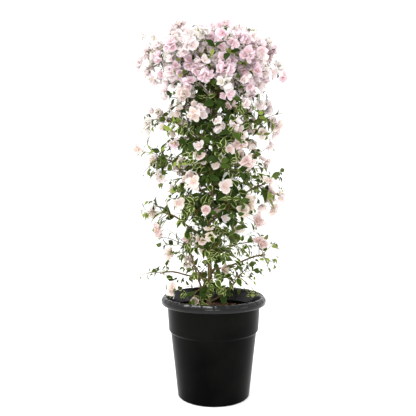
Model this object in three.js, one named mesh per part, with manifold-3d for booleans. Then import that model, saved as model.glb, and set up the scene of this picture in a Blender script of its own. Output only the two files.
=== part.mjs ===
// A bougainvillea bush grown as a slim column in a round nursery pot, in millimetres, +Z up.
// The origin is the centre of the pot's flat underside. The front faces -Y, and +X is on the viewer's right.
// Turns are in degrees seen from above: 0 is the right (+X), 90 the back, 180 the left and 270 the front.

import * as THREE from 'three';
import { mergeVertices } from 'three/addons/utils/BufferGeometryUtils.js';
import Module from 'manifold-3d';

const wasm = await Module();
wasm.setup();

// The gap kept between pieces that touch.
const SEAT_GAP = 0.3;

// Pot
const POT_HEIGHT = 285;
const POT_SIDES = 36;
const FOOT_RADIUS = 101;
const FOOT_CORNER = 4;
const WAIST_RADIUS = 122;
const STEP_HEIGHT = 184;
const STEP_RISE = 5;
const BAND_FOOT_RADIUS = 127;
const BAND_TOP_RADIUS = 132;
const LIP_HEIGHT = 21;
const LIP_RADIUS = 150;
const LIP_TOP_RADIUS = 143;
const MOUTH_RADIUS = 137;
const POT_WALL = 3;
const POT_BASE = 5;

// Soil
const SOIL_TOP = 242;
const SOIL_EDGE_DROP = 4;
const SOIL_LEVEL_RADIUS = 34;

// Trunk
const TRUNK_FOOT = new THREE.Vector3(-14, 2, SOIL_TOP + SEAT_GAP);
const TRUNK_TIP = new THREE.Vector3(4, 0, 935);
const TRUNK_FOOT_RADIUS = 7;
const TRUNK_TIP_RADIUS = 3.4;
const FLARE_WIDTH = 5.5;
const FLARE_HEIGHT = 11;
const TRUNK_SWAY = 7;
const TRUNK_TURNS = 1.6;
const TRUNK_STEPS = 20;
const TRUNK_SIDES = 7;

// Boughs
const BOUGH_SIDES = 5;
const BOUGH_STEPS = 4;
const BOUGH_TIP_RADIUS = 2.4;
const BOUGH_BEND = 0.55;
const BOUGH_BEND_RISE = 0.35;

// Stems of the masses: a stem leaves the trunk below its mass, by a share of the mass's reach from the axis.
const STEM_SIDES = 4;
const STEM_STEPS = 3;
const STEM_RADIUS = 2.7;
const STEM_TIP_RADIUS = 1.9;
const STEM_RISE = 0.55;
const STEM_STAGGER = 4;
const STEM_BEND = 0.6;
const STEM_SAG = 8;
const STEM_LEAD = 0.45;
const TIER_STAGGER = 10;

// Shoots: how far out they end in their mass, as shares of its reach, and where they leave its stem.
const REACH_PER_SHOOT = 19;
const SHOOT_SIDES = 3;
const SHOOT_STEPS = 2;
const SHOOT_RADIUS = 1.9;
const SHOOT_TIP_RADIUS = 1.35;
const SHOOT_MOST_SHARE = 0.86;
const SHOOT_LEAST_SHARE = 0.3;
const SHOOT_SHARE_STEP = 0.07;
const SHOOT_FIRST_ROOT = 0.55;
const SHOOT_LAST_ROOT = 0.98;
const SHOOT_BOW = 0.12;
const GOLDEN_TURN = 137.5;

// Leaves, larger than life because there are fewer of them; shares are of a leaf's length.
const LEAF_LENGTH = 66;
const LEAF_WIDTH = 0.6;
const LEAF_WAIST = 0.42;
const LEAF_CREST = 0.34;
const LEAF_DROOP = 0.14;
const LEAF_THICKNESS = 2.2;
const LEAF_STATIONS = [0.38, 0.68];
const LEAF_TIP_STATION = 0.96;
const LEAF_UPTURN = 0.55;
const LEAF_SLANT = 0.45;
const LEAF_TIP_SLANT = 1.4;
const LEAF_HANG = 0.2;
const LEAF_SINK = 0.8;
const LEAF_TURN_STEP = Math.PI / 3;

// Blossoms; depth and throat are shares of the radius at the bracts' tips.
const BLOSSOM_RADIUS = 30;
const BLOSSOM_DEPTH = 0.75;
const BLOSSOM_THROAT = 0.38;
const BLOSSOM_SINK = 5;
const BLOSSOM_OUTWARD = 0.6;
const BLOSSOM_UPWARD = 0.25;
const SIDE_BLOOM = 0.55;

// Fitting: sizes vary about the middle one, and what doesn't fit is tried again a little smaller.
const LEAST_SIZE = 0.82;
const SIZE_RANGE = 0.33;
const ATTEMPTS = 6;
const SHRINK = 0.05;
const FUSE_TOLERANCE = 0.06;
const MASS_SQUASH = 0.9;
const MASS_OVERHANG = 14;
const MASS_MARGIN = 0.6;
const LIMB_MARGIN = 1.2;
const POT_MARGIN = 3;
const TEST_SPACING = 7;
const PART_SPACING = 28;

// First numbers of the draws, so that no two uses share one.
const DRAW_TURN = 1;
const DRAW_ROOT = 10;
const DRAW_BLOOM = 100;
const DRAW_LEAF_TURN = 200;
const DRAW_LEAF_SIZE = 300;
const DRAW_TWIST = 400;
const DRAW_BLOSSOM_SIZE = 500;
const DRAW_SIDE_BLOOM = 600;

const UP = new THREE.Vector3(0, 0, 1);

// A draw between 0 and 1: the same seed and number always give the same value.
function draw(seed, number) {
  const wave = Math.sin(seed * 12.9898 + number * 78.233) * 43758.5453;
  return wave - Math.floor(wave);
}

// A size factor for the part at one place of one shoot.
function drawSize(mass, firstNumber, shoot, place) {
  return LEAST_SIZE + SIZE_RANGE * draw(mass.seed, firstNumber + 10 * shoot.number + place);
}

// A point at a turn and a reach from the upright axis.
function around(turn, reach, height) {
  const angle = THREE.MathUtils.degToRad(turn);
  return new THREE.Vector3(reach * Math.cos(angle), reach * Math.sin(angle), height);
}

// Keeps only the places of a geometry's corners, each one once.
function bare(geometry) {
  geometry.deleteAttribute('normal');
  geometry.deleteAttribute('uv');
  return mergeVertices(geometry, 1e-4);
}

function toSolid(geometry) {
  const mesh = new wasm.Mesh({
    numProp: 3,
    vertProperties: Float32Array.from(geometry.attributes.position.array),
    triVerts: Uint32Array.from(geometry.index.array),
  });
  return new wasm.Manifold(mesh);
}

function toGeometry(solid) {
  const mesh = solid.getMesh();
  const geometry = new THREE.BufferGeometry();
  geometry.setAttribute('position', new THREE.BufferAttribute(mesh.vertProperties, 3));
  geometry.setIndex(new THREE.BufferAttribute(mesh.triVerts, 1));
  return geometry;
}

// Materials
const plastic = new THREE.MeshStandardMaterial({ color: 0x1c1e1d, roughness: 0.45, metalness: 0 });
const earth = new THREE.MeshStandardMaterial({ color: 0x3b2a1d, roughness: 0.95, metalness: 0 });
const bark = new THREE.MeshStandardMaterial({ color: 0x6b4a33, roughness: 0.85, metalness: 0 });
const foliage = new THREE.MeshStandardMaterial({ color: 0x5d7a44, roughness: 0.6, metalness: 0 });

const plant = new THREE.Group();

function addPiece(name, geometry, material) {
  const mesh = new THREE.Mesh(geometry, material);
  mesh.name = name;
  plant.add(mesh);
}

// The pot is one turned shell: foot, lower wall, a step out to the upper band, and a lip that hangs over it.
function potGeometry() {
  const lipFoot = POT_HEIGHT - LIP_HEIGHT;
  const stepTop = STEP_HEIGHT + STEP_RISE;
  const outline = new THREE.Path();
  outline.moveTo(0, 0);
  outline.lineTo(FOOT_RADIUS - FOOT_CORNER, 0);
  outline.quadraticCurveTo(FOOT_RADIUS, 0, FOOT_RADIUS + 0.5, FOOT_CORNER);
  outline.lineTo(WAIST_RADIUS, STEP_HEIGHT);
  outline.lineTo(BAND_FOOT_RADIUS, stepTop);
  outline.lineTo(BAND_TOP_RADIUS, lipFoot);
  outline.lineTo(LIP_RADIUS - 2, lipFoot);
  outline.lineTo(LIP_RADIUS, lipFoot + 3);
  outline.quadraticCurveTo(LIP_RADIUS - 1, POT_HEIGHT, LIP_TOP_RADIUS, POT_HEIGHT);
  outline.lineTo(MOUTH_RADIUS, POT_HEIGHT);
  outline.lineTo(BAND_TOP_RADIUS - POT_WALL, lipFoot);
  outline.lineTo(WAIST_RADIUS - POT_WALL, STEP_HEIGHT);
  outline.lineTo(FOOT_RADIUS - POT_WALL, POT_BASE);
  outline.lineTo(0, POT_BASE);
  return bare(uprightLathe(outline.getPoints(3)));
}

// A lathe turns about Y, so its shape is stood up on Z.
function uprightLathe(points) {
  return new THREE.LatheGeometry(points, POT_SIDES).rotateX(Math.PI / 2);
}

// The soil fills the pot up to its top, level round the trunk and lower by the wall.
function soilGeometry() {
  const lipFoot = POT_HEIGHT - LIP_HEIGHT;
  const edge = SOIL_TOP - SOIL_EDGE_DROP;
  const share = (edge - STEP_HEIGHT) / (lipFoot - STEP_HEIGHT);
  const wallAtEdge = THREE.MathUtils.lerp(WAIST_RADIUS, BAND_TOP_RADIUS, share) - POT_WALL;
  const gap = SEAT_GAP * 1.1;
  const outline = new THREE.Path();
  outline.moveTo(0, POT_BASE + gap);
  outline.lineTo(FOOT_RADIUS - POT_WALL - gap, POT_BASE + gap);
  outline.lineTo(WAIST_RADIUS - POT_WALL - gap, STEP_HEIGHT);
  outline.lineTo(wallAtEdge - gap, edge);
  outline.quadraticCurveTo(wallAtEdge * 0.7, SOIL_TOP, SOIL_LEVEL_RADIUS, SOIL_TOP);
  outline.lineTo(0, SOIL_TOP);
  return bare(uprightLathe(outline.getPoints(3)));
}

// A closed tapering limb: a cylinder's rings are carried along a row of points and closed by flat ends.
function limbGeometry({ points, radii, sides }) {
  const geometry = bare(new THREE.CylinderGeometry(1, 1, 1, sides, points.length - 1));
  const corners = geometry.attributes.position;
  const frames = ringFrames(points);
  const corner = new THREE.Vector3();
  for (let n = 0; n < corners.count; n += 1) {
    corner.fromBufferAttribute(corners, n);
    const ring = Math.round((corner.y + 0.5) * (points.length - 1));
    const { across, over } = frames[ring];
    const place = points[ring].clone()
      .addScaledVector(across, corner.z * radii[ring])
      .addScaledVector(over, corner.x * radii[ring]);
    corners.setXYZ(n, place.x, place.y, place.z);
  }
  return geometry;
}

// For each point of a limb, its way onwards and two directions square to it, turned as little as possible.
function ringFrames(points) {
  const frames = [];
  let across = new THREE.Vector3(1, 0, 0);
  points.forEach((point, n) => {
    const before = points[Math.max(n - 1, 0)];
    const after = points[Math.min(n + 1, points.length - 1)];
    const along = after.clone().sub(before).normalize();
    if (n === 0 && Math.abs(along.x) > 0.9) {
      across = new THREE.Vector3(0, 1, 0);
    }
    across = across.clone().addScaledVector(along, -across.dot(along)).normalize();
    frames.push({ along, across, over: along.clone().cross(across) });
  });
  return frames;
}

// Points along a bow from one place to another that first heads towards a third.
function bow(from, towards, to, steps) {
  return new THREE.QuadraticBezierCurve3(from, towards, to).getPoints(steps);
}

function taper(first, last, steps) {
  return Array.from({ length: steps + 1 }, (_, n) => THREE.MathUtils.lerp(first, last, n / steps));
}

// Trunk: the share of its length gives its place and thickness.
function trunkPoint(share) {
  const sway = TRUNK_SWAY * Math.sin(Math.PI * share);
  const turn = 360 * TRUNK_TURNS * share;
  const point = TRUNK_FOOT.clone().lerp(TRUNK_TIP, share);
  return point.add(around(turn, sway, 0));
}

function trunkRadius(share) {
  const height = share * (TRUNK_TIP.z - TRUNK_FOOT.z);
  const flare = FLARE_WIDTH * Math.exp(-height / FLARE_HEIGHT);
  return THREE.MathUtils.lerp(TRUNK_FOOT_RADIUS, TRUNK_TIP_RADIUS, share) + flare;
}

function trunkShare(height) {
  return (height - TRUNK_FOOT.z) / (TRUNK_TIP.z - TRUNK_FOOT.z);
}

// The rings stand closer together in the flare at the foot.
function trunkLimb() {
  const shares = Array.from({ length: TRUNK_STEPS + 1 }, (_, n) => (n / TRUNK_STEPS) ** 1.5);
  const points = shares.map(trunkPoint);
  points[1].x = points[0].x;
  points[1].y = points[0].y;
  return { name: 'trunk', points, radii: shares.map(trunkRadius), sides: TRUNK_SIDES };
}

// Boughs leave the trunk at a height and end at a turn, a reach and a height, where their mass begins.
const BOUGHS = [
  { name: 'bough_base_left', leave: 258, turn: 190, reach: 62, height: 392, radius: 3.6 },
  { name: 'bough_base_right', leave: 264, turn: 334, reach: 66, height: 326, radius: 3.2 },
  { name: 'bough_low_left', leave: 330, turn: 184, reach: 104, height: 352, radius: 2.7 },
  { name: 'bough_low_right', leave: 356, turn: 352, reach: 108, height: 396, radius: 2.7 },
  { name: 'bough_waist_left', leave: 452, turn: 200, reach: 104, height: 508, radius: 2.8 },
  { name: 'bough_waist_right', leave: 534, turn: 346, reach: 108, height: 592, radius: 2.8 },
  { name: 'bough_middle_left', leave: 570, turn: 190, reach: 112, height: 664, radius: 3 },
  { name: 'bough_high_right', leave: 666, turn: 8, reach: 104, height: 780, radius: 3 },
  { name: 'bough_high_left', leave: 680, turn: 172, reach: 96, height: 776, radius: 3 },
  { name: 'bough_head_left', leave: 856, turn: 180, reach: 86, height: 934, radius: 3.4 },
  { name: 'bough_head_front', leave: 868, turn: 262, reach: 74, height: 932, radius: 3.2 },
  { name: 'bough_head_right', leave: 880, turn: 350, reach: 86, height: 936, radius: 3.4 },
  { name: 'bough_head_back', leave: 892, turn: 92, reach: 78, height: 938, radius: 3.2 },
];

function boughLimb(bough) {
  const from = trunkPoint(trunkShare(bough.leave));
  const to = around(bough.turn, bough.reach, bough.height);
  const towards = from.clone().lerp(to, BOUGH_BEND);
  towards.z = THREE.MathUtils.lerp(bough.leave, bough.height, BOUGH_BEND_RISE);
  return {
    name: bough.name,
    points: bow(from, towards, to, BOUGH_STEPS),
    radii: taper(bough.radius, BOUGH_TIP_RADIUS, BOUGH_STEPS),
    sides: BOUGH_SIDES,
  };
}

// Tiers of masses round the trunk, each mass on a stem of its own.
const TIERS = [
  { name: 'skirt', height: 350, turns: [62, 132, 250], out: 80, reach: 82, bloom: 0.25 },
  { name: 'low', height: 448, turns: [22, 100, 272], out: 78, reach: 88, bloom: 0.3 },
  { name: 'waist', height: 550, turns: [52, 140, 226, 314], out: 78, reach: 90, bloom: 0.35 },
  { name: 'middle', height: 652, turns: [8, 94, 178, 272], out: 80, reach: 90, bloom: 0.45 },
  { name: 'shoulder', height: 756, turns: [48, 136, 228, 316], out: 80, reach: 90, bloom: 0.5 },
  { name: 'neck', height: 862, turns: [4, 92, 184, 270], out: 84, reach: 88, bloom: 0.8 },
  { name: 'head', height: 974, turns: [46, 138, 222, 312], out: 96, reach: 88, bloom: 1 },
];

// Masses that begin at a bough's tip: the bough, then the mass's own turn, reach from the axis and height.
const BOUGH_MASSES = [
  { name: 'base_left', bough: 'bough_base_left', turn: 186, out: 84, height: 440, reach: 84, bloom: 0.3 },
  { name: 'base_right', bough: 'bough_base_right', turn: 326, out: 88, height: 352, reach: 78, bloom: 0.2 },
  { name: 'low_left', bough: 'bough_low_left', turn: 184, out: 156, height: 350, reach: 62, bloom: 0.1 },
  { name: 'low_right', bough: 'bough_low_right', turn: 354, out: 150, height: 404, reach: 60, bloom: 0.4 },
  { name: 'waist_left', bough: 'bough_waist_left', turn: 198, out: 152, height: 528, reach: 60, bloom: 0.6 },
  { name: 'waist_right', bough: 'bough_waist_right', turn: 346, out: 150, height: 608, reach: 66, bloom: 0.9 },
  { name: 'middle_left', bough: 'bough_middle_left', turn: 190, out: 162, height: 682, reach: 74, bloom: 0.8 },
  { name: 'high_right', bough: 'bough_high_right', turn: 8, out: 150, height: 800, reach: 70, bloom: 0.9 },
  { name: 'high_left', bough: 'bough_high_left', turn: 172, out: 140, height: 796, reach: 66, bloom: 0.8 },
  { name: 'head_left', bough: 'bough_head_left', turn: 180, out: 138, height: 984, reach: 92, bloom: 1 },
  { name: 'head_front', bough: 'bough_head_front', turn: 264, out: 116, height: 976, reach: 88, bloom: 1 },
  { name: 'head_right', bough: 'bough_head_right', turn: 354, out: 132, height: 978, reach: 92, bloom: 1 },
  { name: 'head_back', bough: 'bough_head_back', turn: 92, out: 120, height: 976, reach: 88, bloom: 1 },
  { name: 'crown', bough: 'trunk', turn: 60, out: 10, height: 1006, reach: 92, bloom: 1 },
];

const limbs = [trunkLimb(), ...BOUGHS.map(boughLimb)];

function limbNamed(name) {
  return limbs.find((limb) => limb.name === name);
}

function stemLimb(points) {
  return { points, radii: taper(STEM_RADIUS, STEM_TIP_RADIUS, STEM_STEPS), sides: STEM_SIDES };
}

// A tier's stem leaves the trunk below its mass and bows up and out into it.
function tierMass(tier, number) {
  const turn = tier.turns[number];
  const centre = around(turn, tier.out, tier.height + (number % 2 ? TIER_STAGGER : -TIER_STAGGER));
  const leave = centre.z - STEM_RISE * tier.out - STEM_STAGGER * number;
  const from = trunkPoint(trunkShare(leave));
  const towards = from.clone().lerp(centre, STEM_BEND).addScaledVector(UP, -STEM_SAG);
  return {
    name: `mass_${tier.name}_${number + 1}`,
    centre,
    reach: tier.reach,
    bloom: tier.bloom,
    carrier: 'trunk',
    stem: stemLimb(bow(from, towards, centre, STEM_STEPS)),
  };
}

// A bough's mass starts a seat gap beyond the bough's tip and heads the way that the bough does.
function boughMass(row) {
  const centre = around(row.turn, row.out, row.height);
  const carrier = limbNamed(row.bough);
  const tip = carrier.points[carrier.points.length - 1];
  const { along } = ringFrames(carrier.points)[carrier.points.length - 1];
  const from = tip.clone().addScaledVector(along, SEAT_GAP);
  const towards = from.clone().addScaledVector(along, STEM_LEAD * from.distanceTo(centre));
  const points = bow(from, towards, centre, STEM_STEPS);
  points[1] = from.clone().addScaledVector(along, from.distanceTo(points[1]));
  return {
    name: `mass_${row.name}`,
    centre,
    reach: row.reach,
    bloom: row.bloom,
    carrier: row.bough,
    stem: stemLimb(points),
  };
}

const masses = [
  ...TIERS.flatMap((tier) => tier.turns.map((_, number) => tierMass(tier, number))),
  ...BOUGH_MASSES.map(boughMass),
];
masses.forEach((mass, n) => {
  mass.seed = n + 1;
  mass.middles = [];
});

// How far a place is from a straight stretch of limb.
function distanceToStretch(place, from, to) {
  const stretch = new THREE.Line3(from, to);
  return stretch.closestPointToPoint(place, true, new THREE.Vector3()).distanceTo(place);
}

function clearOfLimb(place, limb, margin) {
  for (let n = 0; n + 1 < limb.points.length; n += 1) {
    const radius = Math.max(limb.radii[n], limb.radii[n + 1]);
    if (distanceToStretch(place, limb.points[n], limb.points[n + 1]) < radius + margin) {
      return false;
    }
  }
  return true;
}

// Foliage stays above the pot's lip, or inside its mouth and above the soil.
function clearOfPot(place) {
  const fromAxis = Math.hypot(place.x, place.y);
  if (fromAxis > LIP_RADIUS + POT_MARGIN) {
    return true;
  }
  const floor = fromAxis < BAND_TOP_RADIUS - 2 * POT_MARGIN ? SOIL_TOP : POT_HEIGHT;
  return place.z > floor + POT_MARGIN;
}

// Each mass knows the masses next to it, and the limbs and other masses' stems that pass near.
masses.forEach((mass) => {
  const span = mass.reach + MASS_OVERHANG;
  const others = masses.filter((other) => other !== mass);
  const paths = [...limbs, ...others.map((other) => other.stem)];
  mass.neighbours = others.filter((other) => (
    other.centre.distanceTo(mass.centre) < span + other.reach + MASS_OVERHANG));
  mass.obstacles = paths.filter((path) => !clearOfLimb(mass.centre, path, span));
});

// A mass keeps to its own space: within its reach, and on its own side of the plane shared with each other
// mass.
function ownSpace(mass, place) {
  const flat = new THREE.Vector3(1, 1, 1 / MASS_SQUASH);
  const offset = place.clone().sub(mass.centre);
  if (offset.clone().multiply(flat).length() > mass.reach + MASS_OVERHANG) {
    return false;
  }
  const own = offset.lengthSq() - mass.reach ** 2;
  return mass.neighbours.every((other) => {
    const theirs = place.distanceToSquared(other.centre) - other.reach ** 2;
    const apart = mass.centre.distanceTo(other.centre);
    return (theirs - own) / (2 * apart) > MASS_MARGIN;
  });
}

// Free of the trunk, the boughs, the other masses' stems and the pot.
function freePlace(mass, place, room) {
  return ownSpace(mass, place)
    && clearOfPot(place)
    && mass.obstacles.every((path) => clearOfLimb(place, path, LIMB_MARGIN + room));
}

// A shoot leaves the stem's outer half and bows up a little on the way to its end.
function shootTo(mass, number, end) {
  const stem = new THREE.CatmullRomCurve3(mass.stem.points);
  const root = draw(mass.seed, DRAW_ROOT + number);
  const from = stem.getPoint(THREE.MathUtils.lerp(SHOOT_FIRST_ROOT, SHOOT_LAST_ROOT, root));
  const towards = from.clone().lerp(end, 0.5).addScaledVector(UP, SHOOT_BOW * from.distanceTo(end));
  return {
    number,
    points: bow(from, towards, end, SHOOT_STEPS),
    radii: taper(SHOOT_RADIUS, SHOOT_TIP_RADIUS, SHOOT_STEPS),
    sides: SHOOT_SIDES,
  };
}

// A shoot heads one of several ways spread evenly over a ball. Its end is drawn in until the shoot is free
// and, on one that blooms, until its blossom fits.
function growShoot(mass, number, count, blooms) {
  const up = 1 - (2 * number + 1) / count;
  const turn = GOLDEN_TURN * number + 360 * draw(mass.seed, DRAW_TURN);
  const direction = around(turn, Math.sqrt(1 - up * up), up * MASS_SQUASH);
  for (let share = SHOOT_MOST_SHARE; share > SHOOT_LEAST_SHARE; share -= SHOOT_SHARE_STEP) {
    const end = mass.centre.clone().addScaledVector(direction, mass.reach * share);
    const shoot = shootTo(mass, number, end);
    if (shoot.points.slice(1).every((place) => freePlace(mass, place, SHOOT_RADIUS))) {
      const stalk = shoot.points[SHOOT_STEPS].clone().sub(shoot.points[SHOOT_STEPS - 1]).normalize();
      shoot.blossom = blooms ? fittingBlossom(mass, shoot, end, stalk, 0) : null;
      if (shoot.blossom || !blooms) {
        return shoot;
      }
    }
  }
  return null;
}

// A mass has more shoots the further it reaches.
function growShoots(mass) {
  const count = Math.round(mass.reach / REACH_PER_SHOOT);
  return Array.from({ length: count }, (_, number) => {
    const blooms = draw(mass.seed, DRAW_BLOOM + number) < mass.bloom;
    return (blooms && growShoot(mass, number, count, true)) || growShoot(mass, number, count, false);
  }).filter((shoot) => shoot !== null);
}

// Shapes a ball of three sides: its two poles and the three corners between them each go to their own place.
function threeSidedBall(lowPole, highPole, corners) {
  const geometry = bare(new THREE.SphereGeometry(1, 3, 2));
  const places = geometry.attributes.position;
  for (let n = 0; n < places.count; n += 1) {
    const height = places.getY(n);
    const turn = Math.atan2(places.getZ(n), -places.getX(n));
    const corner = (Math.round(turn / (2 * Math.PI / 3)) + 3) % 3;
    const pole = height > 0 ? highPole : lowPole;
    const place = Math.abs(height) > 0.5 ? pole : corners[corner];
    places.setXYZ(n, place.x, place.y, place.z);
  }
  return geometry;
}

// A leaf arches over from its root to its tip, with a crest along its middle and a side to each hand.
function leafGeometry(root, along, facing, length) {
  const side = along.clone().cross(facing).normalize();
  const up = side.clone().cross(along).normalize();
  const halfWidth = 0.5 * LEAF_WIDTH * length;
  const at = (forward, across, lift) => root.clone()
    .addScaledVector(along, forward * length)
    .addScaledVector(side, across * halfWidth)
    .addScaledVector(up, lift);
  const tip = at(1, 0, -LEAF_DROOP * length);
  const crest = at(LEAF_CREST, 0, LEAF_THICKNESS);
  return threeSidedBall(root, tip, [crest, at(LEAF_WAIST, 1, 0), at(LEAF_WAIST, -1, 0)]);
}

// A blossom is a cup of three bracts: their tips stand round the axis, above the root and the throat.
function blossomGeometry(root, axis, radius, twist) {
  const helper = Math.abs(axis.z) > 0.9 ? new THREE.Vector3(1, 0, 0) : UP;
  const across = helper.clone().cross(axis).normalize();
  const over = axis.clone().cross(across);
  const throat = root.clone().addScaledVector(axis, BLOSSOM_THROAT * radius);
  const tips = [0, 1, 2].map((n) => {
    const angle = twist + 2 * Math.PI * n / 3;
    return root.clone()
      .addScaledVector(axis, BLOSSOM_DEPTH * radius)
      .addScaledVector(across, radius * Math.cos(angle))
      .addScaledVector(over, radius * Math.sin(angle));
  });
  return threeSidedBall(root, throat, tips);
}

// Places over a geometry's faces, no further apart than a limb is thick.
function facePlaces(geometry) {
  const index = geometry.index.array;
  const places = [];
  for (let face = 0; face < index.length; face += 3) {
    const [a, b, c] = [0, 1, 2].map((n) => (
      new THREE.Vector3().fromBufferAttribute(geometry.attributes.position, index[face + n])));
    const steps = Math.ceil(Math.max(a.distanceTo(b), b.distanceTo(c), c.distanceTo(a)) / TEST_SPACING);
    for (let i = 0; i <= steps; i += 1) {
      for (let j = 0; i + j <= steps; j += 1) {
        places.push(a.clone().lerp(b, i / steps).addScaledVector(c.clone().sub(a), j / steps));
      }
    }
  }
  return places;
}

// A leaf or blossom fits where all of it is free and none of its own mass's are close to its middle.
function fits(mass, geometry) {
  const box = new THREE.Box3().setFromBufferAttribute(geometry.attributes.position);
  const middle = box.getCenter(new THREE.Vector3());
  const crowded = mass.middles.some((other) => other.distanceTo(middle) < PART_SPACING);
  if (crowded || !facePlaces(geometry).every((place) => freePlace(mass, place, 0))) {
    return false;
  }
  mass.middles.push(middle);
  return true;
}

// The way out from the upright axis through a mass.
function outwardFrom(mass) {
  return new THREE.Vector3(mass.centre.x, mass.centre.y, 0).normalize();
}

// A leaf leaves its shoot to one side and faces out and up. Where it doesn't fit, it turns round the shoot.
function fittingLeaf(mass, shoot, path, station, n) {
  const facing = outwardFrom(mass).addScaledVector(UP, LEAF_UPTURN).normalize();
  const root = path.getPoint(station);
  const tangent = path.getTangent(station);
  const firstTurn = Math.PI * n + draw(mass.seed, DRAW_LEAF_TURN + 10 * shoot.number + n) - 0.5;
  const slant = station === LEAF_TIP_STATION ? LEAF_TIP_SLANT : LEAF_SLANT;
  const fullLength = LEAF_LENGTH * drawSize(mass, DRAW_LEAF_SIZE, shoot, n);
  for (let attempt = 0; attempt < ATTEMPTS; attempt += 1) {
    const turn = firstTurn + attempt * LEAF_TURN_STEP;
    const side = facing.clone().cross(tangent).normalize().applyAxisAngle(tangent, turn);
    const along = side.addScaledVector(tangent, slant).addScaledVector(UP, -LEAF_HANG).normalize();
    const sunk = root.clone().addScaledVector(along, -LEAF_SINK);
    const leaf = leafGeometry(sunk, along, facing, fullLength * (1 - SHRINK * attempt));
    if (fits(mass, leaf)) {
      return leaf;
    }
  }
  return null;
}

// A blossom opens along its own stalk and outwards.
function fittingBlossom(mass, shoot, root, stalk, n) {
  const axis = stalk.clone()
    .addScaledVector(outwardFrom(mass), BLOSSOM_OUTWARD)
    .addScaledVector(UP, BLOSSOM_UPWARD)
    .normalize();
  const twist = 2 * Math.PI * draw(mass.seed, DRAW_TWIST + 10 * shoot.number + n);
  const fullRadius = BLOSSOM_RADIUS * drawSize(mass, DRAW_BLOSSOM_SIZE, shoot, n);
  const sunk = root.clone().addScaledVector(axis, -BLOSSOM_SINK);
  for (let attempt = 0; attempt < ATTEMPTS; attempt += 1) {
    const blossom = blossomGeometry(sunk, axis, fullRadius * (1 - SHRINK * attempt), twist);
    if (fits(mass, blossom)) {
      return blossom;
    }
  }
  return null;
}

// Leaves and, where the mass blooms well, side blossoms stand alternately along a shoot.
function dressShoot(mass, shoot) {
  const path = new THREE.CatmullRomCurve3(shoot.points);
  const stations = shoot.blossom ? LEAF_STATIONS : [...LEAF_STATIONS, LEAF_TIP_STATION];
  const parts = stations.map((station, n) => {
    const number = DRAW_SIDE_BLOOM + 10 * shoot.number + n;
    const blooms = draw(mass.seed, number) < SIDE_BLOOM * mass.bloom;
    const stalk = path.getTangent(station).cross(UP).multiplyScalar(n % 2 ? 1 : -1);
    return (blooms && fittingBlossom(mass, shoot, path.getPoint(station), stalk, n + 1))
      || fittingLeaf(mass, shoot, path, station, n);
  });
  return [shoot.blossom, ...parts].filter((part) => part !== null);
}

// The largest closed body of a fused solid, with flat faces merged: scraps and sealed hollows are dropped.
function mainBody(solid) {
  const bodies = solid.asOriginal().simplify(FUSE_TOLERANCE).decompose();
  return bodies.reduce((best, body) => (body.volume() > best.volume() ? body : best));
}

// A limb with the seat gap round it, which cuts what meets the limb's side.
function fattened(limb) {
  return toSolid(limbGeometry({ ...limb, radii: limb.radii.map((radius) => radius + SEAT_GAP) }));
}

function massGeometry(mass) {
  const shoots = growShoots(mass);
  const leafyParts = shoots.flatMap((shoot) => dressShoot(mass, shoot));
  const parts = [limbGeometry(mass.stem), ...shoots.map(limbGeometry), ...leafyParts];
  let solid = wasm.Manifold.union(parts.map(toSolid));
  if (mass.carrier === 'trunk' && mass.name !== 'mass_crown') {
    solid = solid.subtract(fattened(limbNamed('trunk')));
  }
  return toGeometry(mainBody(solid));
}

function limbPiece(limb) {
  const whole = toSolid(limbGeometry(limb));
  if (limb.name === 'trunk') {
    return toGeometry(whole);
  }
  return toGeometry(mainBody(whole.subtract(fattened(limbNamed('trunk')))));
}

addPiece('pot', potGeometry(), plastic);
addPiece('soil', soilGeometry(), earth);
limbs.forEach((limb) => addPiece(limb.name, limbPiece(limb), bark));
masses.forEach((mass) => addPiece(mass.name, massGeometry(mass), foliage));

export default plant;
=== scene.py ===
# %% [markdown]
# # A bougainvillea bush in its nursery pot
# The real plant is a slim column of thin arching shoots round one woody stem, about 1.1 m high with its pot.
# Small pointed leaves cover the column, and papery pale pink bracts crowd together at its head.
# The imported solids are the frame. They are loaded first, and all the rest is grown and turned round them.

import functools
import itertools
import math

import bmesh
import bpy
import numpy as np
from mathutils import Matrix, Vector, noise


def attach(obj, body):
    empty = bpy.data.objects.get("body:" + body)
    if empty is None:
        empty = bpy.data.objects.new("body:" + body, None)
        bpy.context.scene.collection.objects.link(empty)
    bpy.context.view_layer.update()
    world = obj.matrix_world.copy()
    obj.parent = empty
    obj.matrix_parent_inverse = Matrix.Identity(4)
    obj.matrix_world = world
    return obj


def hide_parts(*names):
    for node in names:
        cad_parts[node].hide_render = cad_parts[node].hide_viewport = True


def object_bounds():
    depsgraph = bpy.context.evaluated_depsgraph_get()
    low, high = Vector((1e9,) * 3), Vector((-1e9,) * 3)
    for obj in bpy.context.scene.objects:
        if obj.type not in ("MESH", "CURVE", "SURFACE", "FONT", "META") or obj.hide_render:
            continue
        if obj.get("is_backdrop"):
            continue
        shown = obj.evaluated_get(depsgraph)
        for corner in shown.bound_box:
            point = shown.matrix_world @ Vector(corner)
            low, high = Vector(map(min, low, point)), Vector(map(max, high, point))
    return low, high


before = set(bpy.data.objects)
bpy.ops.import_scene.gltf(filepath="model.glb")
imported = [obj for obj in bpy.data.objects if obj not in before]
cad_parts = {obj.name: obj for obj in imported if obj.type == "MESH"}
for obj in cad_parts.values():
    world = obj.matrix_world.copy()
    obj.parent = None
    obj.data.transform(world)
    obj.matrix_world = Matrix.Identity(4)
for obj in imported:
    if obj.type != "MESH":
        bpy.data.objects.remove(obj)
frame_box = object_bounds()
MM = 0.001
print("frame box in mm:", [[round(value / MM) for value in corner] for corner in frame_box])

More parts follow.
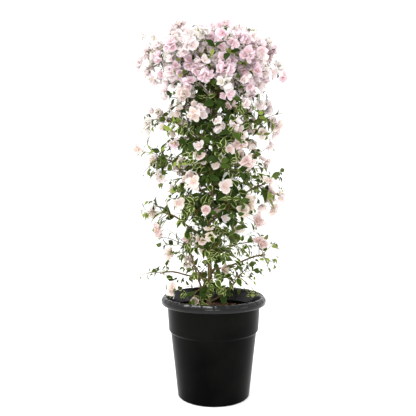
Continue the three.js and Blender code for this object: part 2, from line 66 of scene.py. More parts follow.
# %% [markdown]
# ## The camera
# The photo was taken from 1.56 m away at 0.59 m above the ground. The lens follows from how large the pot
# looks: 536 pixels of a 416-pixel picture stand for one radian near the middle. Upright lines stay upright,
# so the camera looks level, and a small shift instead of a tilt brings the horizon to its height in the
# picture. The camera stands a little to the left, because the pot isn't quite in the middle.

# %% Place the camera
PICTURE_PIXELS = 416
FOCAL_PIXELS = 536
HORIZON_PIXEL = 190.1
SENSOR_WIDTH = 36.0
CAMERA_PLACE = (-0.0163, -1.56, 0.591)

camera_data = bpy.data.cameras.new("camera")
camera_data.sensor_width = SENSOR_WIDTH
camera_data.lens = SENSOR_WIDTH * FOCAL_PIXELS / PICTURE_PIXELS
camera_data.shift_y = (HORIZON_PIXEL - PICTURE_PIXELS / 2) / PICTURE_PIXELS
camera = bpy.data.objects.new("camera", camera_data)
camera.location = CAMERA_PLACE
camera.rotation_euler = (math.pi / 2, 0, 0)
bpy.context.scene.collection.objects.link(camera)
bpy.context.scene.camera = camera
print("lens in mm:", round(camera_data.lens, 2), "shift:", round(camera_data.shift_y, 3))

# %% [markdown]
# ## Chance that always falls the same way
# A plant needs thousands of small accidents. A list of random numbers would do, but every added twig would
# then shift all the later ones. Here each draw is worked out from a seed and a number, so any draw can be
# asked for alone. `dealer` hands out one draw after another for a single shoot or bunch.


# %% Draws from a seed and a number
def draw(seed, number):
    """A value between 0 and 1 that depends only on the seed and the number."""
    wave = math.sin(seed * 12.9898 + number * 78.233) * 43758.5453
    return wave - math.floor(wave)


def dealer(seed):
    """A function that gives one draw after another, between a low and a high value."""
    numbers = itertools.count(1)
    return lambda low=0.0, high=1.0: low + (high - low) * draw(seed, next(numbers))


print("first draws of seed 1:", [round(draw(1, n), 3) for n in range(3)])

# %% [markdown]
# ## Lines that limbs follow
# Every limb is a row of points with a thickness at each. All lengths are in millimetres until a mesh is made.
# Turns are in degrees from above: 0 is the right, 90 the back, 180 the left and 270 the front.
# A quadratic curve is enough for the slow bow of a shoot. It needs only one point besides its two ends.

# %% Rows of points
UP = np.array([0.0, 0.0, 1.0])


def around(turn, reach, height):
    """A point at a turn and a reach from the upright axis."""
    angle = math.radians(turn)
    return np.array([reach * math.cos(angle), reach * math.sin(angle), height])


def unit(vector):
    return vector / max(np.linalg.norm(vector), 1e-9)


def bow(start, towards, end, steps):
    """Points along a bow from one place to another that first heads towards a third."""
    share = np.linspace(0, 1, steps + 1)[:, None]
    return (1 - share) ** 2 * start + 2 * share * (1 - share) * towards + share**2 * end


def along_path(points, share):
    """The place and the heading at a share of a row of points."""
    position = share * (len(points) - 1)
    before = min(int(position), len(points) - 2)
    stretch = points[before + 1] - points[before]
    return points[before] + (position - before) * stretch, unit(stretch)


def path_length(points):
    return float(np.linalg.norm(np.diff(points, axis=0), axis=1).sum())


print("a place 100 mm out to the back:", around(90, 100, 0).round())

# %% [markdown]
# ## Trunk and boughs
# The stem of a young bougainvillea is thin for its height and wanders a little, with a short flare at the
# soil. The boughs leave it one above the other. The sizes are those that the solids were made from, so the
# bark that is wrapped round them later fits.

# %% The trunk's line
SOIL_TOP = 242
SEAT_GAP = 0.3
TRUNK_FOOT = np.array([-14, 2, SOIL_TOP + SEAT_GAP])
TRUNK_TIP = np.array([4, 0, 935.0])
TRUNK_FOOT_RADIUS = 7
TRUNK_TIP_RADIUS = 3.4
TRUNK_STEPS = 20
FLARE_WIDTH = 5.5
FLARE_HEIGHT = 11
FLARE_CROWDING = 1.5
TRUNK_SWAY = 7
TRUNK_TURNS = 1.6


def trunk_point(share):
    sway = around(360 * TRUNK_TURNS * share, TRUNK_SWAY * math.sin(math.pi * share), 0)
    return TRUNK_FOOT + share * (TRUNK_TIP - TRUNK_FOOT) + sway


def trunk_radius(share):
    flare = FLARE_WIDTH * math.exp(-share * (TRUNK_TIP[2] - TRUNK_FOOT[2]) / FLARE_HEIGHT)
    return TRUNK_FOOT_RADIUS + share * (TRUNK_TIP_RADIUS - TRUNK_FOOT_RADIUS) + flare


def trunk_share(height):
    return (height - TRUNK_FOOT[2]) / (TRUNK_TIP[2] - TRUNK_FOOT[2])


def trunk_limb():
    """The trunk, with its points closest together at the flare."""
    shares = (np.arange(TRUNK_STEPS + 1) / TRUNK_STEPS) ** FLARE_CROWDING
    points = np.array([trunk_point(share) for share in shares])
    points[1, :2] = points[0, :2]
    return {"points": points, "radii": np.array([trunk_radius(share) for share in shares])}


limbs = {"trunk": trunk_limb()}
print("length of the trunk in mm:", round(path_length(limbs["trunk"]["points"])))

# %% The boughs' lines
BOUGH_TIP_RADIUS = 2.4
BOUGH_BEND = 0.55
BOUGH_BEND_RISE = 0.35
BOUGH_STEPS = 4

# name, height where it leaves the trunk, then turn, reach and height of its tip, and thickness
BOUGHS = [
    ("base_left", 258, 190, 62, 392, 3.6),
    ("base_right", 264, 334, 66, 326, 3.2),
    ("low_left", 330, 184, 104, 352, 2.7),
    ("low_right", 356, 352, 108, 396, 2.7),
    ("waist_left", 452, 200, 104, 508, 2.8),
    ("waist_right", 534, 346, 108, 592, 2.8),
    ("middle_left", 570, 190, 112, 664, 3),
    ("high_right", 666, 8, 104, 780, 3),
    ("high_left", 680, 172, 96, 776, 3),
    ("head_left", 856, 180, 86, 934, 3.4),
    ("head_front", 868, 262, 74, 932, 3.2),
    ("head_right", 880, 350, 86, 936, 3.4),
    ("head_back", 892, 92, 78, 938, 3.2),
]


def bough_limb(leave, turn, reach, height, radius):
    start = trunk_point(trunk_share(leave))
    end = around(turn, reach, height)
    towards = start + BOUGH_BEND * (end - start)
    towards[2] = leave + BOUGH_BEND_RISE * (height - leave)
    radii = np.linspace(radius, BOUGH_TIP_RADIUS, BOUGH_STEPS + 1)
    return {"points": bow(start, towards, end, BOUGH_STEPS), "radii": radii}


limbs.update({f"bough_{name}": bough_limb(*row) for name, *row in BOUGHS})
print("limbs:", len(limbs))

# %% [markdown]
# ## Masses of foliage
# A bush is easier to grow in parcels. Each mass of leaves has a middle, a reach and a stem that brings it up,
# and it keeps to its own space, so the gaps between the masses stay open. Tiers of masses stand round the
# trunk, and those that jut out of the column sit on a bough. `bloom` is the share of shoots that end in
# bracts.

# %% Where the masses are
STEM_RADIUS = 2.7
STEM_TIP_RADIUS = 1.9
STEM_RISE = 0.55
STEM_STAGGER = 4
STEM_BEND = 0.6
STEM_SAG = 8
STEM_LEAD = 0.45
STEM_STEPS = 3
TIER_STAGGER = 10

# name, height, turns of its masses, how far out their middles are, reach, bloom
TIERS = [
    ("skirt", 350, [62, 132, 250], 80, 82, 0.25),
    ("low", 448, [22, 100, 272], 78, 88, 0.3),
    ("waist", 550, [52, 140, 226, 314], 78, 90, 0.35),
    ("middle", 652, [8, 94, 178, 272], 80, 90, 0.45),
    ("shoulder", 756, [48, 136, 228, 316], 80, 90, 0.5),
    ("neck", 862, [4, 92, 184, 270], 84, 88, 0.8),
    ("head", 974, [46, 138, 222, 312], 96, 88, 1),
]

# name, which is also the bough's that carries it, turn, how far out, height, reach, bloom
CARRIED_MASSES = [
    ("base_left", 186, 84, 440, 84, 0.3),
    ("base_right", 326, 88, 352, 78, 0.2),
    ("low_left", 184, 156, 350, 62, 0.1),
    ("low_right", 354, 150, 404, 60, 0.4),
    ("waist_left", 198, 152, 528, 60, 0.6),
    ("waist_right", 346, 150, 608, 66, 0.9),
    ("middle_left", 190, 162, 682, 74, 0.8),
    ("high_right", 8, 150, 800, 70, 0.9),
    ("high_left", 172, 140, 796, 66, 0.8),
    ("head_left", 180, 138, 984, 92, 1),
    ("head_front", 264, 116, 976, 88, 1),
    ("head_right", 354, 132, 978, 92, 1),
    ("head_back", 92, 120, 976, 88, 1),
    ("crown", 60, 10, 1006, 92, 1),
]


def new_mass(name, centre, reach, bloom, start, towards):
    """A mass with a stem that bows from its start into the mass's middle."""
    points = bow(start, towards, centre, STEM_STEPS)
    stem = {"points": points, "radii": np.linspace(STEM_RADIUS, STEM_TIP_RADIUS, len(points))}
    return {"name": f"mass_{name}", "centre": centre, "reach": reach, "bloom": bloom, "stem": stem}


def tier_masses(name, height, turns, out, reach, bloom):
    """A tier's stems leave the trunk below their masses and bow up and out into them."""
    for number, turn in enumerate(turns):
        centre = around(turn, out, height + (TIER_STAGGER if number % 2 else -TIER_STAGGER))
        start = trunk_point(trunk_share(centre[2] - STEM_RISE * out - STEM_STAGGER * number))
        towards = start + STEM_BEND * (centre - start) - STEM_SAG * UP
        yield new_mass(f"{name}_{number + 1}", centre, reach, bloom, start, towards)


def carried_mass(name, turn, out, height, reach, bloom):
    """The stem goes on from the tip of its bough, or of the trunk, the way that this heads there."""
    centre = around(turn, out, height)
    before, start = limbs.get(f"bough_{name}", limbs["trunk"])["points"][-2:]
    towards = start + unit(start - before) * STEM_LEAD * np.linalg.norm(centre - start)
    return new_mass(name, centre, reach, bloom, start, towards)


masses = [mass for row in TIERS for mass in tier_masses(*row)]
masses += [carried_mass(*row) for row in CARRIED_MASSES]
for seed, mass in enumerate(masses, 1):
    mass["seed"] = seed
print("masses:", len(masses))

# %% [markdown]
# ## Room to grow
# A twig or leaf may use a place that is inside its own mass's reach, on its own side of the plane that it
# shares with each neighbour, clear of every limb that passes by, above or inside the pot, and under the dome
# of the crown. The test takes a whole row of places at once, because it is asked many thousand times.

# %% Which places are free
MASS_SQUASH = 0.9
MASS_OVERHANG = 14
MARGIN = 0.6
LIP_RADIUS = 150
MOUTH_RADIUS = 137
POT_HEIGHT = 285
POT_MARGIN = 3
WALL_MARGIN = 12
CROWN_MIDDLE = 940
CROWN_ROUNDNESS = 2.2
# reach and rise of the crown's dome, of its lower left part, and of the dome that single bunches may fill
CROWN_DOME = (212, 122)
LEFT_DOME = (212, 106)
LEFT_DOME_FROM = -60
ACCENT_DOME = (248, 165)


def stretches_of(paths):
    """The straight stretches of several limbs: where each starts and ends, and how thick it is."""
    starts = np.concatenate([path["points"][:-1] for path in paths])
    ends = np.concatenate([path["points"][1:] for path in paths])
    thick = np.concatenate([np.maximum(path["radii"][:-1], path["radii"][1:]) for path in paths])
    return starts, ends, thick


def room_from_limbs(places, starts, ends, thick):
    """How far each place is from the surface of the nearest limb."""
    stretch = ends - starts
    offset = places[:, None, :] - starts
    share = np.clip((offset * stretch).sum(2) / (stretch**2).sum(1), 0, 1)
    nearest = starts + share[:, :, None] * stretch
    return (np.linalg.norm(places[:, None, :] - nearest, axis=2) - thick).min(1)


for mass in masses:
    others = [other for other in masses if other is not mass]
    near = [other for other in others if np.linalg.norm(other["centre"] - mass["centre"])
            < mass["reach"] + other["reach"] + 2 * MASS_OVERHANG]
    mass["near_centres"] = np.array([other["centre"] for other in near])
    mass["near_reaches"] = np.array([other["reach"] for other in near])
    mass["passing"] = stretches_of([*limbs.values(), *(other["stem"] for other in others)])
    mass["dome"] = LEFT_DOME if mass["centre"][0] < LEFT_DOME_FROM else CROWN_DOME


def dome_share(places, reach, rise):
    """How far out towards the crown's dome each place is: 0 at its middle, 1 on the dome."""
    from_axis = np.hypot(places[:, 0], places[:, 1])
    above = np.maximum(places[:, 2] - CROWN_MIDDLE, 0)
    return (from_axis / reach) ** CROWN_ROUNDNESS + (above / rise) ** CROWN_ROUNDNESS


def is_free(mass, places, room):
    """Whether a mass may use all of these places, with some room round them."""
    offset = places - mass["centre"]
    if (np.linalg.norm(offset / (1, 1, MASS_SQUASH), axis=1) > mass["reach"] + MASS_OVERHANG).any():
        return False
    own = (offset**2).sum(1) - mass["reach"] ** 2
    theirs = ((places[:, None, :] - mass["near_centres"]) ** 2).sum(2) - mass["near_reaches"] ** 2
    apart = np.linalg.norm(mass["near_centres"] - mass["centre"], axis=1)
    if ((theirs - own[:, None]) / (2 * apart) < MARGIN).any():
        return False
    from_axis = np.hypot(places[:, 0], places[:, 1])
    floor = np.where(from_axis < MOUTH_RADIUS - WALL_MARGIN, SOIL_TOP, POT_HEIGHT) + POT_MARGIN
    if ((from_axis < LIP_RADIUS + POT_MARGIN) & (places[:, 2] < floor)).any():
        return False
    if (dome_share(places, *mass["dome"]) > 1).any():
        return False
    return bool((room_from_limbs(places, *mass["passing"]) > MARGIN + room).all())


print("the middle of the first mass is free:", is_free(masses[0], masses[0]["centre"][None, :], 0))

# %% [markdown]
# ## One shape, many copies
# Thousands of leaves could be linked copies or particles, but a finished model needs them as plain meshes.
# So a shape is modelled once with bmesh operators, read out as arrays, and its copies are written into one
# joined mesh. Numpy moves a whole copy at once, which keeps this step to seconds.


# %% Read a shape out, and join copies into a piece
def read_values(items, attribute, count, kind=int):
    values = np.empty(count, kind)
    items.foreach_get(attribute, values)
    return values


def read_shape(bm):
    """The corners and faces of a bmesh as arrays. The bmesh is freed."""
    mesh = bpy.data.meshes.new("shape")
    bmesh.ops.recalc_face_normals(bm, faces=bm.faces[:])
    bm.to_mesh(mesh)
    bm.free()
    shape = {
        "verts": read_values(mesh.vertices, "co", 3 * len(mesh.vertices), float).reshape(-1, 3),
        "corners": read_values(mesh.loops, "vertex_index", len(mesh.loops)),
        "sizes": read_values(mesh.polygons, "loop_total", len(mesh.polygons)),
        "kinds": read_values(mesh.polygons, "material_index", len(mesh.polygons)),
    }
    bpy.data.meshes.remove(mesh)
    return shape


def copy_shape(shape, axes, place):
    """A copy of a shape whose own three axes become the columns of a matrix, moved to a place."""
    return {**shape, "verts": shape["verts"] @ axes.T + place}


def join_piece(name, shapes, materials, sharp_from):
    """One object in metres from shapes in millimetres. Edges sharper than an angle in degrees stay crisp."""
    firsts = np.cumsum([0, *(len(shape["verts"]) for shape in shapes[:-1])])
    verts = np.concatenate([shape["verts"] for shape in shapes]) * MM
    corners = np.concatenate([shape["corners"] + first for shape, first in zip(shapes, firsts)])
    sizes, kinds = (np.concatenate([shape[key] for shape in shapes]) for key in ("sizes", "kinds"))
    mesh = bpy.data.meshes.new(name)
    mesh.vertices.add(len(verts))
    mesh.vertices.foreach_set("co", verts.ravel())
    mesh.loops.add(len(corners))
    mesh.loops.foreach_set("vertex_index", corners)
    mesh.polygons.add(len(sizes))
    mesh.polygons.foreach_set("loop_start", np.concatenate([[0], np.cumsum(sizes)[:-1]]))
    mesh.polygons.foreach_set("material_index", kinds)
    for material in materials:
        mesh.materials.append(material)
    mesh.update(calc_edges=True)
    mesh.validate()
    return add_piece(mesh, sharp_from)


def add_piece(mesh, sharp_from):
    """Puts a finished mesh into the scene, smooth apart from its sharp edges, and says how large it is."""
    mesh.polygons.foreach_set("use_smooth", np.ones(len(mesh.polygons), bool))
    mesh.set_sharp_from_angle(angle=math.radians(sharp_from))
    piece = bpy.data.objects.new(mesh.name, mesh)
    bpy.context.scene.collection.objects.link(piece)
    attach(piece, "root")
    triangles = sum(len(face.vertices) - 2 for face in mesh.polygons)
    print(f"{mesh.name}: {triangles} triangles")
    return piece


# %% [markdown]
# ## Limbs as tubes
# Twigs, boughs and trunk are all one thing: a ring of corners carried along a row of points. Curve objects
# with a bevel would do for a few. Here every limb is the same straight tube, cut into rings once by operators
# and then bent along its own points. The rings turn as little as possible, so the tube never twists shut.


# %% A tube that bends along a row of points
@functools.cache
def straight_tube(steps, sides):
    """A closed tube of radius 1 whose rings stand at heights 0, 1, 2 and so on."""
    bm = bmesh.new()
    bmesh.ops.create_cone(bm, cap_ends=True, segments=sides, radius1=1, radius2=1, depth=steps)
    bmesh.ops.translate(bm, verts=bm.verts, vec=(0, 0, steps / 2))
    upright = [edge for edge in bm.edges if abs(edge.verts[0].co.z - edge.verts[1].co.z) > steps / 2]
    bmesh.ops.subdivide_edges(bm, edges=upright, cuts=steps - 1, use_grid_fill=True)
    return read_shape(bm)


def ring_frames(points):
    """Two directions square to a limb at each of its points."""
    headings = np.gradient(points, axis=0)
    headings /= np.linalg.norm(headings, axis=1)[:, None]
    across = np.array([1.0, 0, 0]) if abs(headings[0][0]) < 0.9 else np.array([0, 1.0, 0])
    frames = []
    for heading in headings:
        across = unit(across - heading * across.dot(heading))
        frames.append((across, np.cross(heading, across)))
    return np.array(frames)


def limb_shape(points, radii, sides, relief=None):
    """A straight tube bent along the points. Relief, if any, says how far each of its corners swells."""
    tube = straight_tube(len(points) - 1, sides)
    ring = tube["verts"][:, 2].round().astype(int)
    across, over = ring_frames(points)[ring].transpose(1, 0, 2)
    offset = tube["verts"][:, :1] * across + tube["verts"][:, 1:2] * over
    radius = radii[ring]
    if relief:
        radius = radius * relief(ring, np.arctan2(tube["verts"][:, 1], tube["verts"][:, 0]))
    return {**tube, "verts": points[ring] + radius[:, None] * offset}


print("a tube of 3 steps and 5 sides has", len(straight_tube(3, 5)["sizes"]), "faces")

# %% [markdown]
# ## A leaf
# A bougainvillea leaf is a pointed oval on a short stalk, folded a little along its middle, with a tip that
# bends down. A grid of four by five faces is enough: its rows are pulled in to the outline, folded and bent,
# and then given a thickness. The outer columns are narrow, because many leaves of this plant have a thin
# cream margin, which gets a material number of its own. So does the back, which is paler on every leaf.

# %% Model the leaves
BLADE_COLUMNS = 4
BLADE_THICKNESS = 0.016
LEAF_CROWDING = 0.37
MARGIN_FROM = 0.6
STALK_LENGTH = 0.16
STALK_OVERLAP = 0.06
STALK_ENDS = (0.018, 0.012)
STALK_SHIFT = (0, STALK_LENGTH / 2 + 0.02, -0.006)
LEAF_FACE, LEAF_BACK, LEAF_EDGE = 0, 1, 2
# how far along the blade each row of corners stands, and its share of the full width there
LEAF_OUTLINE = [(0, 0), (0.12, 0.6), (0.33, 1), (0.57, 0.84), (0.8, 0.36), (1, 0)]


def add_blade(bm, outline, crowding, width, fold, droop, cup=0, ruffle=0):
    """Adds a closed blade of length 1 along +Y, with its top towards +Z, and returns its faces."""
    known = set(bm.faces)
    rows = len(outline) - 1
    grid = bmesh.ops.create_grid(bm, x_segments=BLADE_COLUMNS, y_segments=rows, size=0.5)
    for vertex in grid["verts"]:
        row = round((vertex.co.y + 0.5) * rows)
        forward, share = outline[row]
        across = math.copysign(abs(2 * vertex.co.x) ** crowding, vertex.co.x)
        half = 0.5 * width * share
        wave = ruffle * (-1) ** row * round(across)
        lift = (fold * abs(across) + cup * across**2 + wave) * half - droop * forward**2
        vertex.co = (across * half, forward, lift)
    bmesh.ops.remove_doubles(bm, verts=grid["verts"], dist=1e-5)
    sheet = [face for face in bm.faces if face not in known]
    bmesh.ops.solidify(bm, geom=sheet, thickness=BLADE_THICKNESS)
    bmesh.ops.recalc_face_normals(bm, faces=bm.faces[:])
    return [face for face in bm.faces if face not in known]


def across_share(face, width, outline):
    """How far from the middle line towards the margin a face lies."""
    middle = face.calc_center_median()
    half = 0.5 * width * np.interp(middle.y, *zip(*outline))
    return abs(middle.x) / max(half, 1e-6)


def leaf_shape(width, fold, droop):
    bm = bmesh.new()
    for face in add_blade(bm, LEAF_OUTLINE, LEAF_CROWDING, width, fold, droop):
        in_margin = across_share(face, width, LEAF_OUTLINE) > MARGIN_FROM
        face.material_index = LEAF_BACK if face.normal.z < 0 else LEAF_EDGE if in_margin else LEAF_FACE
    blade = bm.verts[:]
    bmesh.ops.scale(bm, verts=blade, vec=(1, 1 - STALK_LENGTH, 1))
    bmesh.ops.translate(bm, verts=blade, vec=(0, STALK_LENGTH, 0))
    stalk = bmesh.ops.create_cone(bm, cap_ends=True, segments=3, radius1=STALK_ENDS[0], radius2=STALK_ENDS[1],
                                  depth=STALK_LENGTH + STALK_OVERLAP)["verts"]
    bmesh.ops.rotate(bm, verts=stalk, matrix=Matrix.Rotation(-math.pi / 2, 3, "X"))
    bmesh.ops.translate(bm, verts=stalk, vec=STALK_SHIFT)
    for face in {face for vertex in stalk for face in vertex.link_faces}:
        face.material_index = LEAF_BACK
    return read_shape(bm)


leaf_shapes = [
    leaf_shape(width=0.58, fold=0.2, droop=0.12),
    leaf_shape(width=0.66, fold=0.36, droop=0.24),
    leaf_shape(width=0.52, fold=0.28, droop=0.38),
]
print("faces of a leaf:", len(leaf_shapes[0]["sizes"]))

# %% [markdown]
# ## Bracts
# What looks like a petal is a papery bract. Three of them stand round three thin cream flowers. Young
# blossoms are closed like lanterns, older ones are bells, and the oldest open into three-pointed stars. A
# bract is the same kind of blade as a leaf, but broad, hollow like a spoon, wavy at its margin, and bent
# inwards or outwards. Its heart is the deepest in colour and its rim the palest. Only the bract is modelled
# here. Each blossom is put together from three later, so that no two of them open in quite the same way.

# %% Model the bracts and the flowers
BRACT_CROWDING = 0.75
BRACT_FOLD = -0.16
RIM_FROM = 0.85
HEART_TO = 0.5
BRACT_RIM, BRACT_TINT, BRACT_HEART, FLORET = 0, 1, 2, 3
BRACT_OUTLINE = [(0, 0), (0.14, 0.72), (0.42, 1), (0.78, 0.68), (1, 0)]


def bract_shape(width, cup, curl, ruffle):
    bm = bmesh.new()
    for face in add_blade(bm, BRACT_OUTLINE, BRACT_CROWDING, width, BRACT_FOLD, curl, cup, ruffle):
        forward = face.calc_center_median().y
        if across_share(face, width, BRACT_OUTLINE) >= MARGIN_FROM or forward > RIM_FROM:
            face.material_index = BRACT_RIM
        else:
            face.material_index = BRACT_HEART if forward < HEART_TO else BRACT_TINT
    return read_shape(bm)


def floret_shape():
    """Three thin flared tubes round the upright axis."""
    bm = bmesh.new()
    cone = bmesh.ops.create_cone(bm, cap_ends=True, segments=4, radius1=0.02, radius2=0.05, depth=0.44)
    bmesh.ops.translate(bm, verts=cone["verts"], vec=(0, 0.07, 0.22))
    bmesh.ops.spin(bm, geom=bm.verts[:] + bm.edges[:] + bm.faces[:], cent=(0, 0, 0), axis=(0, 0, 1),
                   angle=math.radians(240), steps=2, use_duplicate=True)
    for face in bm.faces:
        face.material_index = FLORET
    return read_shape(bm)


# each kind of blossom with its bract, and how many degrees the bracts lean away from the blossom's axis
blossom_kinds = {
    "lantern": (bract_shape(width=1.06, cup=0.4, curl=-0.46, ruffle=0.2), 52),
    "bell": (bract_shape(width=1.06, cup=0.3, curl=-0.2, ruffle=0.24), 50),
    "star": (bract_shape(width=0.98, cup=0.2, curl=0.14, ruffle=0.16), 53),
}
floret = floret_shape()
bract_faces = len(blossom_kinds["star"][0]["sizes"])
print("faces of a bract:", bract_faces, "and of the flowers:", len(floret["sizes"]))

# %% [markdown]
# ## What grows where
# This plant changes from its foot to its head, and a few rows of numbers by height say how. The head is
# nearly all bracts, palest on the left. Lower down they stand in small groups, and their pink gets duller and
# closer to peach. Leaves are longest in the middle of the column, and cream margins are commonest low down.
# Each colour is a joined piece of its own with plain colours, dealt out by leaf and by bunch.

# %% Habits and colours by height
HABIT_HEIGHTS = [300, 420, 560, 700, 820, 890, 950, 1060]
HABITS = {
    "leafy": [0.42, 0.48, 0.72, 0.74, 0.66, 0.48, 0.24, 0.18],
    "leaf_length": [28, 31, 35, 36, 34, 30, 24, 20],
    "bract_length": [22, 22, 21, 20.5, 20, 19, 18.5, 18],
    "cream": [0.58, 0.58, 0.56, 0.52, 0.45, 0.28, 0.1, 0.05],
    "bloom": [0, 0.3, 0.5, 0.9, 1, 0.75, 1, 1],
    "side_bloom": [0, 0.04, 0.1, 0.24, 0.36, 0.3, 0.95, 1],
}
HEAD_FOOT = 905
HEAD_MIDDLE = np.array([0, 0, 915.0])
LIME_CHANCE = 0.5
LIME_REACH = 84
LIME_SHARE = 0.6
FRESH_SPREAD = 340
PALE_SIDE = -40
PALE_SHARES = (24, 50, 26, 0, 0, 0)
TINTS = ("white", "blush", "pink", "shell", "dusky", "peach")
# lowest height, and how often each tint comes there
TINT_SHARES = [
    (HEAD_FOOT, (10, 44, 46, 0, 0, 0)),
    (820, (12, 44, 36, 8, 0, 0)),
    (560, (2, 24, 4, 44, 16, 10)),
    (0, (0, 10, 0, 40, 24, 26)),
]


def habit(name, height):
    return float(np.interp(height, HABIT_HEIGHTS, HABITS[name]))


def bunch_tint(place, deal):
    """The tint of a bunch of bracts at a place."""
    on_pale_side = place[2] > HEAD_FOOT and place[0] < PALE_SIDE
    shares = PALE_SHARES if on_pale_side else next(row for lowest, row in TINT_SHARES if place[2] >= lowest)
    return TINTS[int(np.searchsorted(np.cumsum(shares), deal(0, sum(shares))))]


def leaf_piece(place, share, cream, deal):
    """The piece that a leaf belongs to, by its place and by how far along its shoot it stands."""
    if place[2] > HEAD_FOOT and deal() < LIME_CHANCE:
        return "leaves_lime"
    if share > LIME_SHARE and abs(place[0]) > LIME_REACH and deal() < LIME_CHANCE:
        return "leaves_lime"
    if cream:
        return "leaves_cream_edged"
    is_fresh = deal(0, FRESH_SPREAD) < math.hypot(place[0], place[1]) * (0.5 + share)
    return "leaves_fresh" if is_fresh else "leaves_deep"


print("leaf length in mm at 400, 700 and 1000:", [round(habit("leaf_length", z)) for z in (400, 700, 1000)])

# %% [markdown]
# ## Setting a leaf
# A leaf leaves its shoot to one side, slants forwards and hangs a little, and turns its face outwards and up
# to the light. Where it would leave its mass's space it is turned round the shoot, and after a few tries it
# is left out. Real leaves do much the same: they turn until they find light.

# %% Set leaves
LEAF_TRIES = 4
LEAF_LIFT = 0.45
LEAF_SCATTER = 0.6
LEAF_TURN_SPREAD = 0.8
TRIES_PER_HALF_TURN = 3
LEAF_UNDERSIDE = 0.6
LEAF_SLANT = (0.25, 0.9)
LEAF_HANG = 0.28
LEAF_HANG_SPREAD = (-0.4, 1.4)
LEAF_WIDTHS = (0.72, 1)
LEAF_MIDDLE = 0.55
LEAF_HALF_WIDTH = 0.28
# the shapes of every leaf, blossom and twig so far, by piece
grown = {name: [] for name in ("leaves_deep", "leaves_fresh", "leaves_lime", "leaves_cream_edged")}


def outward(place):
    """Away from the trunk, or away from the middle of the head for what grows in it."""
    from_trunk = np.array([place[0], place[1], 0.0])
    return unit(place - HEAD_MIDDLE if place[2] > HEAD_FOOT else from_trunk)


def scatter(reach, deal):
    return np.array([deal(-reach, reach) for _ in range(3)])


def put(shape, across, along, top, size, place):
    """A copy of a shape of length 1, turned to three directions, at its size and place."""
    return copy_shape(shape, np.stack([across, along, top], axis=1) * size, place)


def set_leaf(mass, place, heading, share, number, length, cream, deal):
    """Sets one leaf on a shoot, alternately to each side of it."""
    facing = unit(outward(place) + LEAF_LIFT * UP + scatter(LEAF_SCATTER, deal))
    side = unit(np.cross(facing, heading))
    over = np.cross(heading, side)
    for attempt in range(LEAF_TRIES):
        turn = math.pi * number + deal(-LEAF_TURN_SPREAD, LEAF_TURN_SPREAD)
        turn += attempt * math.pi / TRIES_PER_HALF_TURN
        along = unit(math.cos(turn) * side + LEAF_UNDERSIDE * math.sin(turn) * over
                     + deal(*LEAF_SLANT) * heading - deal(*LEAF_HANG_SPREAD) * LEAF_HANG * UP)
        across = unit(np.cross(along, facing))
        middle = place + LEAF_MIDDLE * length * along
        edge = LEAF_HALF_WIDTH * length * across
        if is_free(mass, np.array([middle, place + length * along, middle + edge, middle - edge]), 0):
            shape = leaf_shapes[int(deal(0, len(leaf_shapes)))]
            leaf = put(shape, across * deal(*LEAF_WIDTHS), along, np.cross(across, along), length, place)
            grown[leaf_piece(place, share, cream, deal)].append(leaf)
            return


print("pieces of leaves:", *grown)

# %% [markdown]
# ## Setting a bunch of blossoms
# The bracts of a blossom lean away from one axis, each by its own angle. A bunch is one to five blossoms on
# short stalks that lean away from each other and outwards, so that it makes one soft puff. Puffs keep apart
# from each other, so a crowded head fills evenly, and each of them can still be told from the next.

# %% Set bunches
BRACT_COUNT = 3
BRACT_TURN_SPREAD = 9
BRACT_LEAN_SPREAD = 11
BRACT_WIDTHS = (0.9, 1.08)
BRACT_SIZES = (0.9, 1.1)
BLOSSOM_SIZES = (0.88, 1.14)
BLOSSOM_ROOM = 1
BUNCH_LEAN = 50
LEAN_SPREAD = 12
SINGLE_LEAN = 14
BUNCH_STALK = 5.5
STALK_RADIUS = 0.55
BUNCH_ROOM = 24
YOUNG_FROM = 760
TWIG_SIDES = 4
grown.update({f"blossoms_{tint}": [] for tint in TINTS})
grown.update({"twigs_green": [], "twigs_brown": []})
bunch_middles = [np.zeros(3)]


def add_twig(colour, points, thick, thin, size=1, sides=TWIG_SIDES):
    radii = np.linspace(thick, thin, len(points)) * size
    grown[f"twigs_{colour}"].append(limb_shape(points, radii, sides))


def square_to(axis):
    """Two directions square to an axis and to each other."""
    across = unit(np.cross(axis, UP + 0.01))
    return across, np.cross(axis, across)


def tilted(axis, lean, turn):
    """A direction that leans away from an axis by so many degrees, at a turn round it."""
    across, over = square_to(axis)
    lean, turn = math.radians(lean), math.radians(turn)
    return math.cos(lean) * axis + math.sin(lean) * (math.cos(turn) * across + math.sin(turn) * over)


def set_blossom(place, axis, length, kind, tint, deal):
    """Three bracts that lean away from an axis, and the flowers between them."""
    bract, opening = blossom_kinds[kind]
    across, over = square_to(axis)
    first_turn = deal(0, 360)
    for n in range(BRACT_COUNT):
        spread = deal(-BRACT_TURN_SPREAD, BRACT_TURN_SPREAD)
        turn = math.radians(first_turn + 360 * n / BRACT_COUNT + spread)
        lean = math.radians(opening + deal(-BRACT_LEAN_SPREAD, BRACT_LEAN_SPREAD))
        out = math.cos(turn) * across + math.sin(turn) * over
        along = math.cos(lean) * axis + math.sin(lean) * out
        top = math.sin(lean) * axis - math.cos(lean) * out
        wide = np.cross(along, top) * deal(*BRACT_WIDTHS)
        grown[f"blossoms_{tint}"].append(put(bract, wide, along, top, length * deal(*BRACT_SIZES), place))
    grown[f"blossoms_{tint}"].append(put(floret, across, over, axis, length, place))


def room_from_bunches(place):
    return np.linalg.norm(np.array(bunch_middles) - place, axis=1).min()


